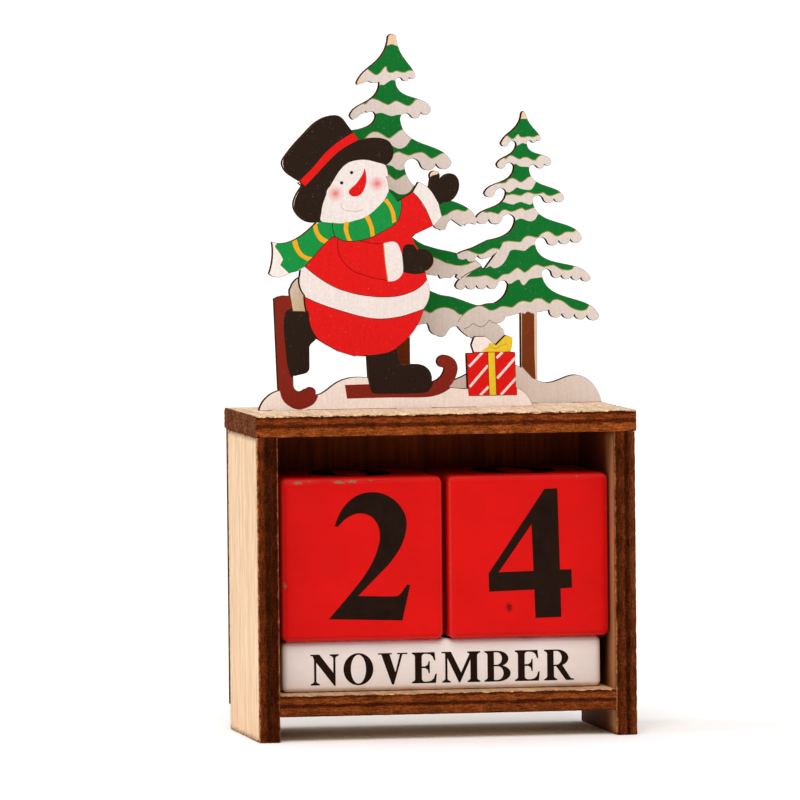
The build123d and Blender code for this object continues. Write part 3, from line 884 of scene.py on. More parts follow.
def cut_out(name, node, base, layers, finishes, trimmed, added):
    """A printed sheet on its CAD outline: a mosaic of the outline and the ink shapes, later ones on top.

    layers are (colour, ring). The sheet is cut back inside the rings trimmed, and filled inside the rings
    added. All are in mm from the middle of the top board's upper face.
    """
    inset = 0.10
    low, high = box_mm(node)
    standing = box_mm("top_board")[1][Z]
    rings = [in_short_steps(ring, 0.6) for ring in sheet_outline(node, Y, -1)]
    rings = [ring - inset * side_normals(ring) for ring in rings]
    outer = int(np.argmax([np.ptp(ring, 0).prod() for ring in rings]))
    gone = len(rings) + len(trimmed)
    bare_rings = gone + len(added)
    shapes = [*trimmed, *added, *(ring for _, ring in layers)]
    shapes = [np.asarray(ring, float) + (0.0, standing) for ring in shapes]
    flat, tris, top = mosaic(
        rings + shapes, {outer}, set(range(gone)) - {outer}, set(range(gone, bare_rings)))
    thick = high[Y] - low[Y]
    edge = [
        (0.0, 0.0), (0.07, 0.07), (0.25, inset), (0.45 * thick, 0.07), (0.55 * thick, 0.07),
        (thick - 0.25, inset), (thick - 0.07, 0.07), (thick, 0.0)]
    space, faces, which = cut_sheet(flat, tris, spread_along(Y, low[Y], -1), edge)
    piece = put_mesh(name, space, faces, finishes, which)
    tints = np.array([base] * bare_rings + [colour for colour, _ in layers])
    paint = np.ones((len(faces), 4), np.float32)
    paint[:, :3] = base
    paint[:len(top), :3] = tints[top]
    piece.data.attributes.new("ink", "FLOAT_COLOR", "FACE").data.foreach_set("color", paint.ravel())
    return piece


def snow_band(upper, lower):
    """Snow along a bough: between a wavy upper edge, left to right, and a lower one, right to left."""
    upper = curve(upper)
    return [(snow, np.concatenate([upper, curve(lower)])), (ochre, brush(upper, 0.2))]


bare, snow, ochre = rgb(236, 198, 166), rgb(224, 209, 199), rgb(168, 150, 82)
fir, bark, grey = rgb(18, 112, 44), rgb(122, 58, 27), rgb(150, 138, 130)
tall_snow = (
    (((-12.5, 84.0), (-11.4, 83.4), (-10.4, 82.6), (-9.2, 81.9), (-8.1, 82.5), (-7.4, 83.4), (-6.7, 83.9),
      (-6.3, 82.7), (-5.2, 82.4), (-4.1, 82.8), (-2.3, 82.4), (-0.6, 82.9), (2.0, 82.4)),
     ((2.0, 79.7), (-2.9, 79.9), (-3.9, 80.2), (-5.2, 80.6), (-6.4, 80.0), (-7.3, 79.4), (-8.1, 79.5),
      (-8.6, 79.2), (-11.3, 79.3), (-14.3, 78.7), (-15.3, 79.7))),
    (((-14.1, 76.0), (-12.9, 75.3), (-12.2, 74.7), (-11.6, 75.0), (-10.9, 75.7), (-10.0, 76.0),
      (-8.7, 75.6), (-7.6, 75.0), (-6.3, 74.5), (-5.3, 74.9), (-4.3, 75.4), (-3.0, 74.9), (-1.8, 74.3),
      (-1.0, 74.2), (-0.2, 74.7), (0.5, 75.5), (1.2, 75.8), (2.2, 76.5)),
     ((5.4, 73.7), (4.8, 70.9), (-0.7, 70.1), (-2.7, 71.8), (-3.9, 72.0), (-5.3, 71.7), (-6.5, 72.0),
      (-7.8, 72.5), (-9.1, 72.4), (-9.5, 72.3), (-11.6, 71.8), (-15.4, 70.3), (-16.5, 71.7))),
    (((-19.5, 65.0), (-17.6, 65.6), (-15.6, 65.0), (-12.9, 65.9), (-12.3, 66.1), (-11.3, 67.1),
      (-10.1, 67.8), (-8.8, 67.7), (-7.7, 67.1), (-6.2, 66.2), (-5.1, 66.8), (-3.9, 67.7), (-3.0, 68.2),
      (-1.9, 68.7)),
     ((0.1, 66.1), (-0.6, 65.9), (-1.3, 64.9), (-2.2, 64.0), (-3.4, 63.6), (-4.5, 63.9), (-5.4, 64.4),
      (-6.5, 64.5), (-8.3, 64.0), (-11.5, 62.6), (-15.0, 61.8), (-18.5, 60.2), (-21.5, 60.6))),
    (((-7.1, 60.7), (-6.0, 61.5), (-4.8, 62.4), (-3.7, 62.8), (-2.5, 62.3), (-1.1, 61.9), (0.4, 62.4),
      (2.1, 62.6), (3.2, 62.0), (4.4, 61.1), (5.5, 61.4), (7.0, 62.2), (8.4, 62.4), (9.7, 62.7)),
     ((10.7, 61.7), (10.3, 57.2), (0.9, 57.2), (-1.1, 58.5), (-2.1, 58.7), (-3.1, 58.3), (-4.3, 58.5),
      (-5.4, 59.3), (-6.6, 59.6), (-7.5, 59.3))),
    (((-21.5, 54.2), (-19.0, 54.6), (-16.4, 54.0), (-13.6, 55.0), (-10.4, 56.6), (-7.5, 58.6), (-6.6, 57.6),
      (-5.6, 56.6), (-4.5, 55.9), (-3.4, 56.4), (-2.3, 57.1), (-1.4, 57.6)),
     ((0.6, 54.8), (0.0, 54.4), (-0.9, 53.1), (-2.0, 52.4), (-3.5, 52.3), (-4.6, 52.8), (-5.8, 53.5),
      (-6.6, 53.3), (-11.0, 49.5), (-16.0, 46.0), (-21.0, 44.4), (-26.5, 45.5))),
    (((4.2, 44.4), (5.4, 45.3), (6.5, 46.6), (7.1, 46.8), (8.2, 47.1), (9.4, 47.9), (10.9, 48.3),
      (11.9, 48.0), (12.9, 47.9), (13.7, 48.5), (14.5, 49.1)),
     ((17.5, 46.0), (16.5, 40.0), (8.0, 40.0), (3.6, 42.0))),
    (((-23.5, 44.0), (-20.5, 44.4), (-17.5, 43.4), (-14.0, 44.6), (-11.0, 44.2), (-8.5, 44.4)),
     ((-9.5, 43.0), (-11.5, 41.2), (-14.5, 38.0), (-20.0, 35.0), (-26.0, 34.6), (-29.0, 37.0))),
    (((0.0, 38.0), (1.6, 37.6), (3.1, 37.2), (4.8, 36.6), (6.4, 35.9), (7.8, 35.2), (9.3, 34.8),
      (10.7, 34.4), (12.2, 34.5), (13.6, 35.1), (15.1, 35.7), (16.2, 36.4)),
     ((19.0, 33.5), (18.0, 29.6), (6.0, 29.6), (-1.0, 30.6))),
    (((-29.0, 33.2), (-26.0, 33.6), (-22.5, 32.6), (-18.5, 34.0), (-14.0, 33.2), (-10.5, 33.8)),
     ((-11.5, 32.2), (-14.0, 29.6), (-18.5, 25.6), (-25.0, 21.0), (-31.0, 21.0), (-34.5, 26.0))),
    (((0.0, 22.8), (1.2, 23.3), (2.5, 23.4), (3.9, 22.8), (5.4, 23.7), (7.5, 24.1), (9.6, 23.5),
      (11.3, 22.3), (13.1, 22.6)),
     ((24.0, 18.0), (22.0, 12.0), (6.0, 13.0), (-0.6, 16.8))))
small_snow = (
    (((23.3, 66.7), (24.2, 66.0), (24.9, 65.6), (25.6, 66.0), (26.1, 66.6), (26.5, 66.7), (26.8, 66.2),
      (27.8, 66.0), (28.9, 66.2), (30.1, 66.0), (31.1, 66.4), (32.6, 66.8)),
     ((32.7, 64.5), (28.8, 64.3), (27.5, 64.6), (26.6, 64.2), (26.0, 64.0), (25.4, 64.0), (22.3, 63.2),
      (21.4, 64.3))),
    (((21.9, 60.5), (22.7, 61.0), (23.2, 60.7), (23.8, 61.3), (24.7, 61.5), (25.7, 61.0), (26.7, 60.6),
      (27.6, 61.0), (28.6, 61.0), (29.8, 60.4), (30.6, 60.3), (31.5, 61.2), (32.4, 61.6), (33.2, 62.2)),
     ((35.5, 59.6), (35.1, 58.0), (31.5, 57.4), (29.3, 58.5), (28.1, 58.7), (26.8, 58.8), (26.0, 59.3),
      (25.4, 59.4), (22.8, 58.2), (21.0, 57.5), (20.1, 59.0))),
    (((18.1, 53.7), (18.8, 54.0), (20.2, 54.6), (21.6, 54.7), (23.0, 54.8), (23.9, 55.6), (24.8, 55.9),
      (25.8, 55.5), (26.8, 54.9), (27.8, 55.3), (28.7, 56.0), (29.4, 56.3), (30.2, 57.0)),
     ((31.4, 55.0), (30.7, 54.8), (30.1, 53.7), (29.4, 53.0), (28.2, 53.0), (26.8, 53.3), (25.9, 53.6),
      (25.1, 53.0), (24.0, 52.4), (23.3, 52.5), (21.0, 51.7), (18.7, 50.7), (17.1, 52.4))),
    (((23.0, 51.7), (23.9, 51.8), (25.0, 51.9), (26.5, 51.6), (27.2, 51.7), (28.1, 52.2), (29.0, 52.3),
      (30.3, 51.9), (31.7, 52.0), (32.6, 52.2), (33.3, 51.7), (34.2, 51.4), (35.2, 51.6), (36.3, 52.0),
      (37.5, 52.5)),
     ((38.6, 50.7), (38.3, 48.9), (31.1, 49.0), (30.1, 49.7), (29.2, 49.3), (28.2, 49.6), (26.9, 50.0),
      (25.9, 49.8), (25.0, 49.4), (23.9, 49.6), (22.7, 50.0), (21.4, 50.3))),
    (((17.2, 47.8), (18.1, 47.5), (19.2, 47.6), (20.4, 47.3), (21.2, 47.1), (22.1, 47.9), (23.0, 48.1),
      (24.0, 47.7), (25.0, 47.7), (26.5, 48.3), (27.3, 48.4), (28.0, 47.9), (29.1, 48.2), (29.8, 48.4),
      (30.8, 48.8)),
     ((31.7, 47.0), (31.1, 46.7), (30.5, 45.7), (29.6, 45.2), (28.5, 45.3), (27.3, 45.8), (26.4, 45.8),
      (25.3, 45.4), (23.8, 46.0), (21.5, 44.8), (18.0, 44.8), (15.6, 44.6), (15.3, 46.1), (16.0, 46.8))),
    (((21.9, 39.1), (22.3, 40.0), (23.5, 40.3), (24.9, 40.2), (26.7, 40.1), (27.4, 40.9), (28.4, 41.5),
      (29.6, 41.4), (31.0, 41.1), (31.9, 41.9), (33.1, 42.5), (33.9, 42.5), (34.8, 42.0), (35.7, 41.4),
      (36.8, 41.6), (38.0, 42.3), (39.2, 42.4), (40.2, 42.4), (41.3, 43.4)),
     ((43.2, 41.0), (42.9, 39.3), (36.8, 38.2), (33.0, 38.0), (31.0, 39.4), (30.3, 39.3), (29.6, 39.2),
      (28.7, 38.6), (27.8, 37.9), (26.7, 38.0), (25.2, 38.2), (24.1, 37.9), (23.5, 36.7), (22.9, 35.6),
      (22.0, 34.5), (20.8, 33.8), (19.8, 33.7), (19.0, 34.2), (17.9, 33.9), (21.0, 37.7))),
    (((10.7, 37.3), (11.9, 37.8), (13.4, 38.1), (14.8, 37.6), (16.1, 37.2), (17.4, 37.4), (18.6, 38.1),
      (19.9, 38.6), (21.5, 38.3)),
     ((21.0, 37.6), (20.0, 36.5), (18.8, 35.5), (17.4, 35.5), (15.9, 35.9), (14.8, 35.5), (13.6, 35.5),
      (13.0, 36.1), (12.2, 35.9), (11.0, 36.2))),
    (((12.9, 31.5), (13.4, 31.6), (15.0, 31.6), (16.5, 31.7), (17.9, 31.9), (18.8, 31.6), (19.9, 31.0),
      (20.8, 30.9), (21.7, 31.7), (22.6, 32.1), (23.7, 32.2), (24.6, 32.8), (25.5, 33.5), (26.0, 33.6),
      (26.8, 33.1), (27.6, 32.5), (28.6, 33.0), (29.8, 34.0), (31.0, 34.3), (32.4, 33.8), (33.6, 34.0),
      (35.0, 34.2), (35.9, 33.7), (37.0, 33.1), (38.5, 32.9), (39.6, 33.1), (40.2, 33.8), (41.0, 34.8)),
     ((45.4, 30.9), (44.8, 29.7), (34.7, 30.5), (32.4, 31.1), (31.8, 31.2), (30.9, 31.1), (29.8, 31.0),
      (28.8, 30.7), (27.6, 29.4), (26.9, 29.7), (26.3, 30.7), (25.4, 30.5), (24.3, 29.8), (23.4, 29.6),
      (19.3, 27.4), (11.2, 27.3), (9.4, 28.6), (10.7, 30.5))),
    (((10.7, 20.4), (11.6, 21.7), (13.2, 23.1), (14.7, 23.9), (16.3, 24.4), (17.7, 23.9), (18.3, 23.5),
      (19.0, 23.2), (20.2, 23.4), (21.6, 24.1), (22.8, 24.1), (24.5, 23.9), (26.0, 25.0), (27.4, 25.4),
      (29.1, 25.1), (30.3, 25.9), (31.8, 25.9), (32.9, 25.2), (33.9, 24.7), (34.8, 25.5), (36.1, 25.6),
      (37.5, 25.0), (39.0, 23.8), (40.4, 23.1), (41.9, 22.8), (43.2, 23.1), (43.9, 24.1), (44.7, 24.9)),
     ((48.0, 21.0), (46.0, 18.0), (34.0, 18.5), (30.0, 22.1), (29.4, 22.3), (28.4, 22.8), (27.5, 22.2),
      (26.9, 22.3), (24.0, 19.0), (18.0, 14.0), (10.0, 15.0))))
small_shape = (
    (27.0, 70.6), (25.0, 70.6), (22.6, 66.5), (21.4, 64.0), (22.6, 61.5), (20.1, 58.5), (20.0, 55.0),
    (17.1, 52.0), (18.4, 48.5), (15.3, 45.5), (17.0, 42.0), (13.0, 38.0), (10.7, 36.8), (14.5, 33.0),
    (9.4, 28.6), (12.6, 24.5), (10.7, 19.0), (24.0, 22.6), (34.0, 22.6), (48.0, 19.0), (48.0, 70.6))
fir_prints = [
    # The tall fir's trunk and its green, on which the snow lies.
    (bark, ((-6.3, 0.0), (-1.3, 0.0), (-1.3, 24.0), (-6.3, 24.0))),
    (fir,
     ((-50.0, 17.0), (24.0, 17.0), (24.0, 70.0), (8.0, 89.0), (-3.9, 89.0), (-5.2, 89.5), (-6.4, 89.1),
      (-14.0, 89.4), (-50.0, 60.0)))]
for upper, lower in tall_snow:
    fir_prints += snow_band(upper, lower)
fir_prints += [
    # Its lowest snow, then the small fir's trunk and green.
    (snow, ((-12.0, 21.0), (-6.0, 22.5), (-3.0, 21.8), (1.0, 22.8), (1.0, 16.8), (-12.0, 16.8))),
    (bark, ((26.9, 24.0), (30.0, 24.0), (30.0, 12.0), (30.4, 0.0), (26.7, 0.0))),
    (fir, small_shape),
]
for upper, lower in small_snow:
    fir_prints += snow_band(upper, lower)
fir_prints += [
    # A fold in the lowest snow.
    (grey,
     brush(curve(((12.2, 18.7), (13.5, 19.2), (14.6, 20.0), (15.5, 19.5), (16.4, 19.2), (17.5, 19.5),
                  (18.7, 20.8), (19.3, 20.3), (20.4, 20.0), (21.4, 20.2))),
           0.2)),
    # Tips that the print doesn't reach.
    (bare, ((-20.0, 84.0), (-13.0, 81.6), (-12.6, 80.6), (-13.0, 79.4), (-12.6, 77.5), (-20.0, 76.0))),
    (bare, ((20.0, 67.0), (22.8, 65.4), (22.2, 64.4), (22.6, 62.0), (20.0, 62.0))),
    (bare, ((34.0, 67.0), (31.8, 65.4), (32.2, 63.5), (34.0, 63.0))),
    (bare, ((44.6, 27.0), (44.2, 30.4), (43.8, 31.2), (48.0, 34.0))),
    # The tip of a bough that ends against the small fir, its edge line and its shaded underside.
    (snow,
     ((9.9, 34.5), (11.4, 34.4), (13.0, 34.6), (14.2, 35.1), (15.4, 35.6), (16.8, 34.3), (14.8, 33.2),
      (11.7, 31.4), (10.2, 32.1))),
    (ochre, brush(curve(((11.4, 34.4), (13.0, 34.6), (14.2, 35.1), (15.4, 35.6))), 0.2)),
    (bark, brush(curve(((16.8, 34.2), (14.8, 33.2), (12.9, 32.2), (11.6, 31.3))), 0.22)),
    # The bough behind the left skate, yellower below, printed paler than the rest of the snow: painted light
    # that offsets the shadow of the snowman sheet on it.
    (rgb(250, 237, 226), ((-32.2, 32.6), (-25.0, 32.5), (-25.1, 27.0), (-28.7, 27.3), (-32.3, 27.4))),
    (rgb(250, 238, 210), ((-32.3, 27.4), (-28.7, 27.3), (-25.1, 27.0), (-25.1, 21.8), (-32.3, 21.9))),
    # The drift.
    (snow,
     ((-60.0, -8.0), (60.0, -8.0), (60.0, 2.4), (47.0, 2.4), (43.0, 6.6), (34.5, 6.9), (30.4, 5.7),
      (29.3, 6.3), (26.7, 9.2), (22.0, 13.0), (6.0, 13.0), (-1.2, 6.4), (-6.4, 6.2), (-20.0, 5.0),
      (-60.0, 5.0)))]
inked = printed("inked_ply", Z)
bare_back = birch_face("birch_back", Z, birch_pale, birch_tan, birch_dark)
dark_bands = (
    (0.0, (0.10, 0.035, 0.012)), (0.25, (0.035, 0.012, 0.006)), (0.6, (0.06, 0.02, 0.008)),
    (1.0, (0.12, 0.045, 0.016)))
# Where the sheet is cut back from the solid's outline, and where it reaches further.
fir_trimmed = (
    ((-15.0, 78.9), (-14.2, 79.5), (-12.5, 80.1), (-10.9, 80.5), (-10.6, 80.0), (-11.4, 78.7),
     (-13.2, 78.2)),
    ((-15.2, 69.8), (-15.1, 71.0), (-13.8, 71.7), (-13.1, 72.4), (-11.5, 72.7), (-12.0, 71.1),
     (-13.6, 69.8)),
    ((25.4, 73.8), (27.7, 73.8), (27.7, 72.5), (27.2, 71.7), (27.0, 70.9), (25.4, 70.9)),
    ((27.8, 73.8), (30.4, 73.7), (30.4, 69.9), (28.9, 69.9), (28.3, 71.7), (27.8, 72.5)),
    ((1.0, 43.1), (-0.6, 41.6), (1.0, 40.4), (2.5, 39.6), (4.4, 39.0), (6.5, 38.4), (8.7, 38.0),
     (8.7, 38.9), (5.6, 40.0), (2.4, 42.2)),
    ((5.1, 30.3), (6.1, 31.2), (7.8, 31.6), (9.0, 31.4), (10.0, 32.3), (10.8, 32.4), (10.3, 31.0),
     (8.6, 29.8)),
    ((11.0, 37.5), (13.0, 38.2), (14.9, 38.8), (17.9, 40.2), (19.4, 40.9), (19.0, 41.4), (13.6, 40.2),
     (11.2, 38.7)),
    ((7.0, 16.6), (8.0, 18.2), (8.9, 19.1), (9.7, 19.5), (10.7, 19.4), (11.6, 18.3), (13.0, 17.0),
     (11.6, 16.0), (8.5, 16.0)),
    ((0.9, 32.5), (2.6, 32.7), (3.2, 32.5), (3.0, 31.3), (2.4, 30.1), (0.9, 30.7)),
    ((7.8, 43.3), (8.5, 45.3), (9.4, 46.0), (10.5, 45.2), (11.9, 44.2), (11.1, 43.3), (9.3, 43.3)),
    ((12.9, 44.8), (14.1, 45.0), (15.6, 44.5), (15.8, 43.4), (13.2, 43.5)))
fir_added = (
    ((-11.2, 81.4), (-11.0, 80.4), (-10.1, 80.0), (-8.3, 80.2), (-7.7, 79.7), (-7.7, 81.4)),
    ((-12.0, 73.6), (-11.7, 72.7), (-10.5, 72.9), (-9.4, 72.9), (-8.6, 72.6), (-8.6, 73.6)),
    np.concatenate([curve(((-16.3, 68.1), (-14.6, 68.3), (-13.3, 68.5), (-11.5, 69.1), (-10.2, 69.9),
                           (-9.5, 70.9), (-9.1, 72.1))),
                    [(-8.1, 72.1), (-8.2, 65.0), (-16.4, 65.1)]]),
    ((21.0, 37.9), (17.9, 33.8), (17.0, 33.0), (19.6, 32.5), (21.7, 35.1)),
    ((17.1, 37.2), (17.1, 36.0), (18.3, 36.3), (19.6, 36.8), (20.9, 37.8), (20.4, 38.9), (18.6, 38.6)),
    ((21.5, 21.5), (23.6, 21.8), (26.8, 22.6), (27.3, 24.6), (22.1, 24.6)),
    ((30.2, 24.5), (30.4, 22.6), (31.9, 22.8), (33.8, 23.2), (34.2, 24.3)),
    np.concatenate([curve(((-28.5, 32.2), (-29.5, 31.7), (-30.3, 30.9), (-30.8, 30.1), (-30.9, 29.3),
                           (-30.8, 28.4), (-30.8, 27.5))),
                    [(-31.9, 27.2), (-32.0, 22.2), (-27.4, 22.1), (-25.4, 26.2), (-27.2, 31.0)]]),
    ((2.5, 33.3), (3.7, 32.3), (5.2, 32.1), (6.5, 32.4), (7.8, 31.6), (8.6, 32.4), (5.6, 34.0),
     (3.1, 34.0)),
    np.concatenate([curve(((3.2, 28.5), (6.4, 27.2), (9.5, 26.6), (12.6, 25.5), (15.1, 24.6), (16.6, 24.4),
                           (18.4, 24.8), (20.0, 24.9))),
                    [(17.8, 22.5), (12.8, 22.0), (8.5, 23.1), (3.9, 25.2)]]),
    ((0.5, 21.9), (0.8, 20.0), (3.1, 20.3), (3.8, 19.2), (4.5, 20.3), (2.4, 22.3)),
    ((5.3, 17.9), (6.0, 17.0), (6.8, 16.8), (7.5, 17.2), (8.0, 18.0), (8.7, 18.9), (7.9, 19.8),
     (5.7, 19.1)),
    ((11.6, 18.8), (12.4, 17.6), (13.4, 16.8), (14.5, 16.6), (17.2, 15.8), (20.5, 14.8), (22.4, 16.6),
     (22.1, 18.5), (17.2, 19.2), (12.8, 19.4)),
    ((10.9, 45.7), (11.2, 44.7), (11.9, 44.2), (12.9, 44.9), (14.1, 45.0), (13.0, 45.9)),
    ((5.3, 45.1), (5.5, 44.6), (6.6, 43.3), (7.8, 43.6), (8.5, 45.3), (6.8, 45.6)))
fir_finishes = [inked, burnt_edge("fir_edge", "tree_cutout", Y, dark_bands), bare_back]
firs = cut_out("fir_sheet", "tree_cutout", bare, fir_prints, fir_finishes, fir_trimmed, fir_added)
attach(firs, "frame")
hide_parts("tree_cutout")


# Snowman cut-out: a skating snowman, a gift box and a snow drift in one sheet of thin plywood, cut and
# printed in the same way. It stands in front of the firs by its own tabs.

def patch(colour, points):
    """A printed patch with a smooth outline through points."""
    return (colour, curve(points, True))


def line(colour, points, wide):
    """A printed line through points."""
    return (colour, brush(curve(points), wide))


white = rgb(236, 223, 217)
coat, scarf, stripe = rgb(221, 26, 24), rgb(26, 142, 64), rgb(236, 166, 34)
black, runner, gold, blush = rgb(42, 29, 21), rgb(130, 38, 26), rgb(234, 196, 46), rgb(230, 108, 104)
deep_red, dark = rgb(140, 14, 14), rgb(46, 28, 20)
scarf_low = (
    (-29.8, 35.3), (-26.3, 39.2), (-23.7, 41.8), (-22.3, 42.5), (-20.6, 41.6), (-18.3, 41.3), (-16.0, 41.5),
    (-13.2, 42.2), (-10.6, 43.5), (-7.7, 45.1), (-6.2, 47.1), (-5.6, 50.5), (-6.5, 53.3))
fur_top = (
    (-32.2, 37.1), (-29.7, 35.1), (-27.4, 33.2), (-24.5, 31.2), (-21.8, 29.8), (-19.9, 29.1), (-16.1, 28.1),
    (-11.0, 27.5), (-6.6, 27.7), (-3.2, 28.7), (-1.2, 29.8), (0.3, 31.3), (1.4, 32.8))
fur_low = (
    (3.0, 25.8), (-0.3, 24.4), (-3.6, 23.3), (-6.7, 22.5), (-11.3, 22.1), (-15.6, 22.7), (-20.8, 24.2),
    (-25.0, 25.6), (-29.0, 27.3), (-31.5, 28.8))
skater_prints = [
    # The left skate.
    patch(runner,
          ((-38.2, 28.4), (-33.4, 28.4), (-33.0, 23.8), (-33.1, 8.5), (-32.8, 5.4), (-31.4, 5.1),
           (-29.8, 5.5), (-29.0, 6.7), (-27.6, 6.8), (-26.7, 5.5), (-27.0, 3.1), (-27.7, 1.8), (-28.7, 1.0),
           (-30.2, 0.4), (-31.7, 0.1), (-33.4, 0.6), (-35.0, 1.7), (-36.0, 3.1), (-36.5, 4.8), (-37.7, 5.5),
           (-38.6, 16.0))),
    # The coat, its fur hem and the lines of its front.
    (coat,
     np.concatenate([curve(scarf_low),
                     [(-2.7, 53.3), (-1.2, 51.5), (0.5, 48.7), (2.1, 45.1), (4.0, 42.0), (9.0, 30.0),
                      (3.0, 13.0), (-7.4, 14.3), (-11.4, 13.2), (-14.9, 13.2), (-20.0, 10.0), (-27.0, 15.0),
                      (-29.6, 17.5), (-29.6, 24.8), (-32.5, 28.0), (-32.5, 35.0)]])),
    (white, np.concatenate([curve(fur_top), curve(fur_low)])), line(dark, fur_top, 0.16),
    line(dark, fur_low, 0.16),
    line(deep_red,
         ((-21.6, 42.2), (-21.6, 39.7), (-21.1, 37.7), (-19.8, 35.7), (-17.8, 34.0), (-15.0, 32.9),
          (-12.7, 32.2), (-10.7, 31.8), (-9.2, 31.5)),
         0.2),
    line(deep_red, ((-16.3, 41.5), (-14.6, 41.1), (-12.6, 40.7), (-10.2, 40.7)), 0.2),
    # The lower mitten and its cuff.
    (black,
     np.concatenate([curve(((-5.5, 38.2), (-5.4, 39.3), (-4.8, 40.2), (-3.7, 40.4), (-2.6, 40.1),
                            (-1.7, 38.8))),
                     [(-1.5, 40.5), (4.5, 40.5), (4.5, 36.2)],
                     curve(((1.9, 35.2), (0.8, 34.0), (-0.5, 33.2), (-2.8, 33.0), (-5.4, 33.6),
                            (-7.0, 34.6)))])),
    (white,
     np.concatenate([curve(((-10.2, 40.7), (-8.0, 41.1), (-6.7, 40.5), (-6.0, 38.9), (-5.6, 37.5),
                            (-5.4, 33.8), (-6.4, 32.1), (-7.8, 31.4), (-9.2, 31.3))),
                     [(-9.8, 35.9)]])),
    line(ochre, ((-10.2, 40.7), (-9.8, 35.9), (-9.2, 31.3)), 0.2),
    # The raised arm's cuff and mitten.
    (white,
     ((-1.3, 56.2), (0.7, 54.7), (2.1, 52.9), (3.6, 50.3), (4.9, 47.3), (2.7, 44.6), (2.1, 45.1),
      (0.3, 49.2), (-1.2, 51.5), (-2.8, 53.2))),
    line(dark, ((-2.8, 53.2), (-1.2, 51.5), (0.3, 49.2), (2.1, 45.1)), 0.16),
    (bare, ((0.2, 54.7), (4.0, 57.0), (5.0, 60.0), (0.0, 60.0))),
    (black,
     ((0.7, 54.7), (2.1, 52.9), (3.6, 50.3), (5.0, 48.4), (12.0, 50.0), (12.0, 60.0), (5.0, 60.0),
      (4.1, 58.1), (3.3, 57.5), (2.1, 57.2), (0.6, 56.2))),
    # The left boot.
    patch(black,
          ((-35.2, 22.4), (-34.9, 23.8), (-34.2, 24.7), (-33.0, 25.0), (-30.8, 24.8), (-29.1, 24.2),
           (-28.8, 21.6), (-28.1, 19.6), (-27.3, 18.2), (-26.7, 17.2), (-27.4, 16.0), (-27.8, 15.0),
           (-27.9, 11.0), (-28.9, 9.2), (-30.9, 8.0), (-33.1, 7.9), (-33.9, 9.0), (-34.6, 12.0),
           (-35.0, 16.5), (-35.3, 20.4))),
    # The right skate and boot.
    (runner,
     np.concatenate([curve(((-20.2, 6.0), (-14.1, 6.1), (-9.0, 6.2), (0.0, 6.2))),
                     [(1.6, 8.5), (2.6, 13.5), (6.0, 14.0), (10.0, 9.0), (9.6, 6.0)],
                     curve(((8.4, 7.0), (7.0, 5.4), (4.8, 3.9), (2.5, 3.0), (-0.85, 2.6), (-9.5, 2.7),
                            (-19.7, 2.6)))])),
    (black,
     np.concatenate([curve(((-15.2, 13.3), (-12.9, 13.3), (-11.2, 13.5), (-9.2, 13.9), (-7.2, 14.8))),
                     curve(((-6.4, 12.2), (-5.6, 11.4), (-1.9, 11.3), (0.6, 10.0), (2.0, 7.8), (1.9, 6.2),
                            (1.1, 4.7), (-0.5, 3.7), (-6.6, 3.6), (-12.6, 3.7), (-13.7, 4.6), (-14.2, 6.2),
                            (-15.0, 10.5)))])),
    # The gift box, whose stripes, ribbon, edges and bow follow.
    (coat, ((9.4, 13.4), (22.7, 13.5), (22.8, 2.8), (10.7, 2.8)))]
for ends in (
        ((10.9, 10.0), (14.3, 13.45)), ((11.0, 5.0), (15.6, 10.2)), ((13.6, 2.9), (15.75, 4.95)),
        ((17.8, 12.0), (19.3, 13.45)), ((17.9, 7.0), (22.5, 12.0)), ((18.8, 2.9), (22.7, 7.0))):
    skater_prints.append((white, brush(ends, 0.62)))
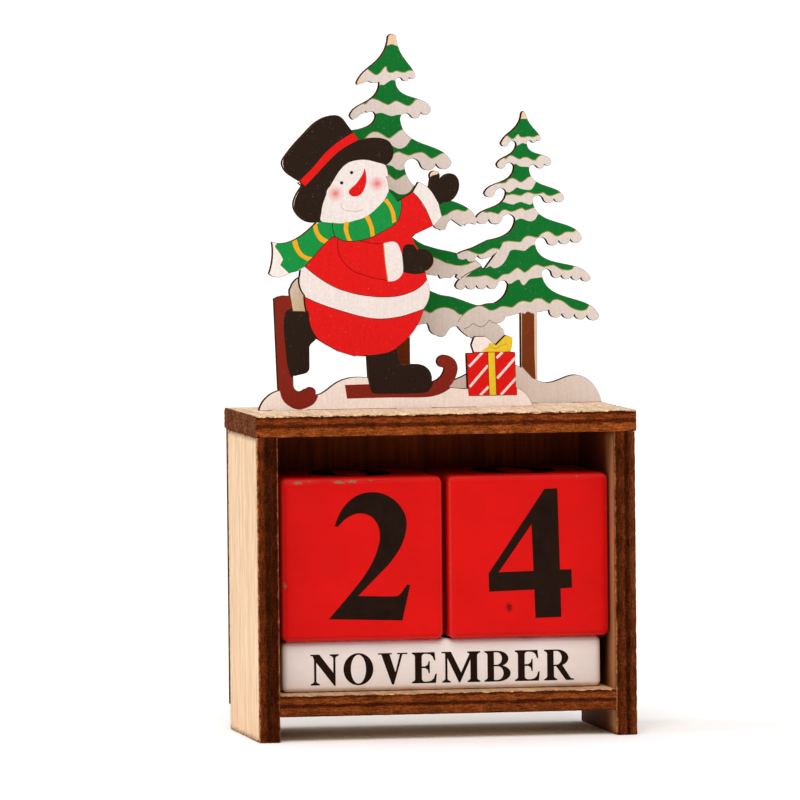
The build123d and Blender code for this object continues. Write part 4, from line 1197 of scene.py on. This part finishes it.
skater_prints += [
    (gold, ((15.6, 13.5), (17.4, 13.5), (17.7, 2.8), (15.9, 2.8))),
    (dark, brush(((15.6, 13.5), (15.9, 2.8)), 0.16)), (dark, brush(((17.4, 13.5), (17.7, 2.8)), 0.16)),
    (dark, brush(((10.7, 13.45), (22.7, 13.55)), 0.2)),
    (dark, brush(((10.7, 2.8), (22.8, 2.8), (22.7, 13.5)), 0.18)),
    patch(gold,
          ((14.4, 13.7), (15.6, 14.8), (16.2, 15.7), (17.9, 15.6), (18.9, 16.6), (20.0, 17.5),
           (21.35, 17.35), (21.9, 16.4), (21.6, 14.6), (21.1, 13.6))),
    line(ochre, ((16.0, 15.6), (16.6, 14.6), (17.8, 14.4), (18.8, 15.0), (20.4, 15.4)), 0.16),
    # The hat, its band and the face.
    (black,
     np.concatenate([curve(((-30.9, 55.9), (-33.0, 57.5), (-34.7, 59.2), (-35.0, 61.4), (-33.6, 63.9),
                            (-31.6, 66.6), (-28.6, 69.7), (-25.6, 71.3), (-22.6, 72.7))),
                     [(-19.5, 73.6), (-16.2, 68.2), (-14.6, 67.2), (-9.5, 68.0), (-6.2, 65.2), (-6.2, 62.8),
                      (-9.0, 59.4), (-15.0, 56.0), (-22.0, 50.0)],
                     curve(((-25.6, 46.0), (-29.0, 46.2), (-31.2, 47.1), (-32.3, 48.9), (-32.2, 51.6),
                            (-30.6, 54.9)))])),
    (coat,
     np.concatenate([curve(((-16.9, 68.4), (-21.1, 65.9), (-24.5, 63.1), (-27.4, 59.8), (-31.0, 56.3))),
                     curve(((-29.6, 55.0), (-26.2, 58.5), (-23.2, 61.6), (-20.2, 64.1), (-15.7, 66.5)))])),
    patch(white,
          ((-25.7, 46.4), (-25.6, 48.5), (-25.2, 50.6), (-23.9, 53.9), (-22.6, 56.2), (-21.2, 58.4),
           (-19.6, 60.1), (-17.7, 61.0), (-14.7, 61.3), (-11.6, 60.6), (-9.5, 59.8), (-8.9, 57.6),
           (-8.6, 55.6), (-9.0, 53.3), (-9.9, 51.4), (-11.9, 49.1), (-14.5, 47.2), (-17.7, 46.3),
           (-20.0, 45.9), (-22.8, 46.0)))]
cheek_round = 2.2
for x, z in ((-11.7, 55.4), (-22.1, 53.1)):
    for share in np.linspace(1.0, 0.16, 7):
        cheek = tuple(a + (b - a) * (1.1 - share) ** 1.3 for a, b in zip(white, blush))
        skater_prints.append((cheek, ellipse(x, z, cheek_round * share, cheek_round * share, count=24)))
skater_prints += [
    # The nose, the eyes and the smile.
    patch(coat,
          ((-14.7, 59.1), (-14.3, 56.5), (-14.8, 54.3), (-15.9, 52.7), (-17.6, 52.3), (-18.7, 53.1),
           (-18.5, 54.0), (-16.7, 55.7), (-15.3, 57.7))),
    (black, ellipse(-18.0, 58.2, 0.42, 0.42, count=20)),
    (black, ellipse(-20.5, 55.7, 0.42, 0.42, count=20)),
    line(rgb(214, 186, 176),
         ((-20.8, 50.7), (-20.5, 49.6), (-19.7, 49.0), (-18.2, 48.7), (-16.5, 48.7), (-15.2, 49.2)), 0.22),
    # The scarf, whose stripes and lines follow.
    (scarf,
     np.concatenate([curve(((-30.6, 42.9), (-28.6, 44.6), (-26.6, 45.8), (-25.7, 46.2), (-22.8, 45.9),
                            (-20.0, 45.8), (-17.7, 46.3), (-14.5, 47.3), (-11.9, 49.3), (-9.9, 51.4),
                            (-8.6, 53.6), (-6.5, 53.6))),
                     curve(scarf_low)[::-1],
                     [(-33.5, 33.3), (-34.7, 34.5), (-36.0, 35.7), (-35.3, 37.1), (-36.0, 38.5),
                      (-37.3, 40.3), (-36.6, 41.3), (-34.0, 41.4)]]))]
for band in (
        ((-27.8, 45.6), (-27.4, 43.7), (-26.3, 41.7), (-24.9, 40.8), (-23.7, 41.6), (-25.4, 42.6),
         (-26.4, 44.0), (-26.8, 46.0)),
        ((-33.0, 41.8), (-32.5, 39.8), (-31.2, 37.9), (-29.2, 36.6), (-27.8, 37.5), (-29.8, 38.1),
         (-31.2, 39.8), (-31.9, 42.4)),
        ((-19.9, 46.0), (-20.1, 44.5), (-19.7, 42.8), (-19.1, 41.3), (-18.0, 41.3), (-18.7, 42.8),
         (-19.0, 44.4), (-18.8, 46.1)),
        ((-14.9, 47.3), (-14.0, 45.5), (-13.6, 44.1), (-13.4, 42.3), (-12.4, 42.5), (-12.6, 44.4),
         (-13.1, 46.1), (-13.8, 47.6)),
        ((-10.1, 51.2), (-8.9, 49.7), (-8.2, 47.7), (-8.0, 45.6), (-7.0, 46.0), (-7.3, 48.2), (-8.1, 50.1),
         (-9.2, 51.7))):
    skater_prints.append((stripe, np.concatenate([curve(band[:4]), curve(band[4:])])))
skater_prints += [
    line(dark, ((-22.8, 46.0), (-22.9, 44.8), (-22.6, 43.4), (-22.2, 42.2)), 0.2),
    line(dark, scarf_low, 0.2),
]
# The hat's crown is rounder than the solid's: the sheet is cut back outside this line and filled inside.
crown = curve(
    ((-30.3, 55.9), (-33.6, 58.0), (-34.8, 59.4), (-35.2, 60.8), (-34.6, 62.2), (-32.2, 65.2),
     (-29.7, 67.8), (-27.4, 70.1), (-25.2, 71.5), (-23.3, 72.1), (-21.4, 72.2), (-20.1, 71.4),
     (-18.9, 69.8), (-17.5, 67.9)))
skater_trimmed = (np.concatenate([crown, [(-14.0, 76.0), (-40.0, 76.0), (-40.0, 55.0)]]),)
skater_added = (
    np.concatenate([crown, [(-19.0, 66.0), (-29.5, 57.0)]]),
    ((-37.3, 27.0), (-37.3, 27.4), (-36.7, 27.8), (-35.3, 28.1), (-33.6, 28.0), (-33.3, 26.5),
     (-33.0, 24.3), (-34.1, 24.3), (-34.1, 27.0)),
    ((-33.7, 33.8), (-32.2, 34.1), (-30.8, 34.6), (-31.0, 33.5), (-30.2, 33.4), (-27.7, 32.9),
     (-27.7, 35.3), (-29.5, 36.2), (-32.0, 35.1)),
    ((-28.9, 20.8), (-27.3, 17.9), (-27.0, 17.5), (-24.8, 16.1), (-21.6, 14.3), (-17.5, 13.0),
     (-17.1, 14.2), (-22.8, 16.7), (-26.2, 19.6)),
    ((-4.9, 42.5), (-3.1, 42.3), (-2.6, 40.9), (-1.7, 38.8), (-2.5, 38.0), (-5.2, 39.1)),
    ((-1.1, 33.7), (0.2, 33.5), (0.4, 32.4), (0.6, 31.4), (1.1, 30.4), (-0.3, 29.8), (-1.4, 31.5)),
    ((-10.0, 60.2), (-9.5, 59.8), (-9.1, 58.6), (-8.9, 57.0), (-10.4, 57.4), (-10.9, 59.2)))
skater_finishes = [inked, burnt_edge("snowman_edge", "snowman_cutout", Y, dark_bands), bare_back]
skater = cut_out(
    "snowman_sheet", "snowman_cutout", rgb(244, 230, 222), skater_prints, skater_finishes, skater_trimmed,
    skater_added)
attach(skater, "frame")
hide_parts("snowman_cutout")


# Studio: a wide pale floor, a soft sun from the front and another from the left, a pale sky that is
# brightest overhead, and a camera fitted to the frame's corners in the photograph.

scene = bpy.context.scene
scene.view_settings.view_transform = "Standard"
mesh = bpy.data.meshes.new("floor")
mesh.from_pydata([(-60, -20, 0), (60, -20, 0), (60, 100, 0), (-60, 100, 0)], [], [(0, 1, 2, 3)])
floor = bpy.data.objects.new("floor", mesh)
scene.collection.objects.link(floor)
paper, body, add, join = shader("paper", 0.9, 0.1)
body.inputs["Base Color"].default_value = (0.95, 0.95, 0.95, 1.0)
mesh.materials.append(paper)
sky = bpy.data.worlds.new("studio")
sky.use_nodes = True
tree = sky.node_tree
height = tree.nodes.new("ShaderNodeSeparateXYZ")
fade = tree.nodes.new("ShaderNodeValToRGB")
for stop, (place, light) in zip(fade.color_ramp.elements, ((0.1, 0.04), (0.75, 1.0))):
    stop.position = place
    stop.color = (*even(light), 1.0)
tree.links.new(tree.nodes.new("ShaderNodeTexCoord").outputs["Generated"], height.inputs[0])
tree.links.new(height.outputs[2], fade.inputs[0])
tree.links.new(fade.outputs[0], tree.nodes["Background"].inputs["Color"])
tree.nodes["Background"].inputs["Strength"].default_value = 0.96
scene.world = sky
for name, power, turn, tilt, soft in (("key", 1.47, -12, 42, 32), ("side_light", 1.01, -94, 68, 50)):
    lamp = bpy.data.lights.new(name, "SUN")
    lamp.energy = power
    lamp.angle = math.radians(soft)
    sun = bpy.data.objects.new(name, lamp)
    sun.rotation_euler = (math.radians(tilt), 0, math.radians(turn))
    scene.collection.objects.link(sun)

azimuth, elevation, roll = [math.radians(angle) for angle in (-9.749, 2.660, -0.545)]
aim, distance = Vector((-0.007195, 0, 0.08185)), 2.5098
level_share = math.cos(elevation)
back = Vector((math.sin(azimuth) * level_share, -math.cos(azimuth) * level_share, math.sin(elevation)))
across = Vector((math.cos(azimuth), math.sin(azimuth), 0))
up = back.cross(across)
across, up = across * math.cos(roll) + up * math.sin(roll), up * math.cos(roll) - across * math.sin(roll)
lens = bpy.data.cameras.new("camera")
lens.sensor_width = 36
lens.lens = 459.55
lens.clip_end = 300
camera = bpy.data.objects.new("camera", lens)
turned = Matrix([[across[k], up[k], back[k]] for k in range(3)])
camera.matrix_world = Matrix.Translation(aim + back * distance) @ turned.to_4x4()
scene.collection.objects.link(camera)
scene.camera = camera
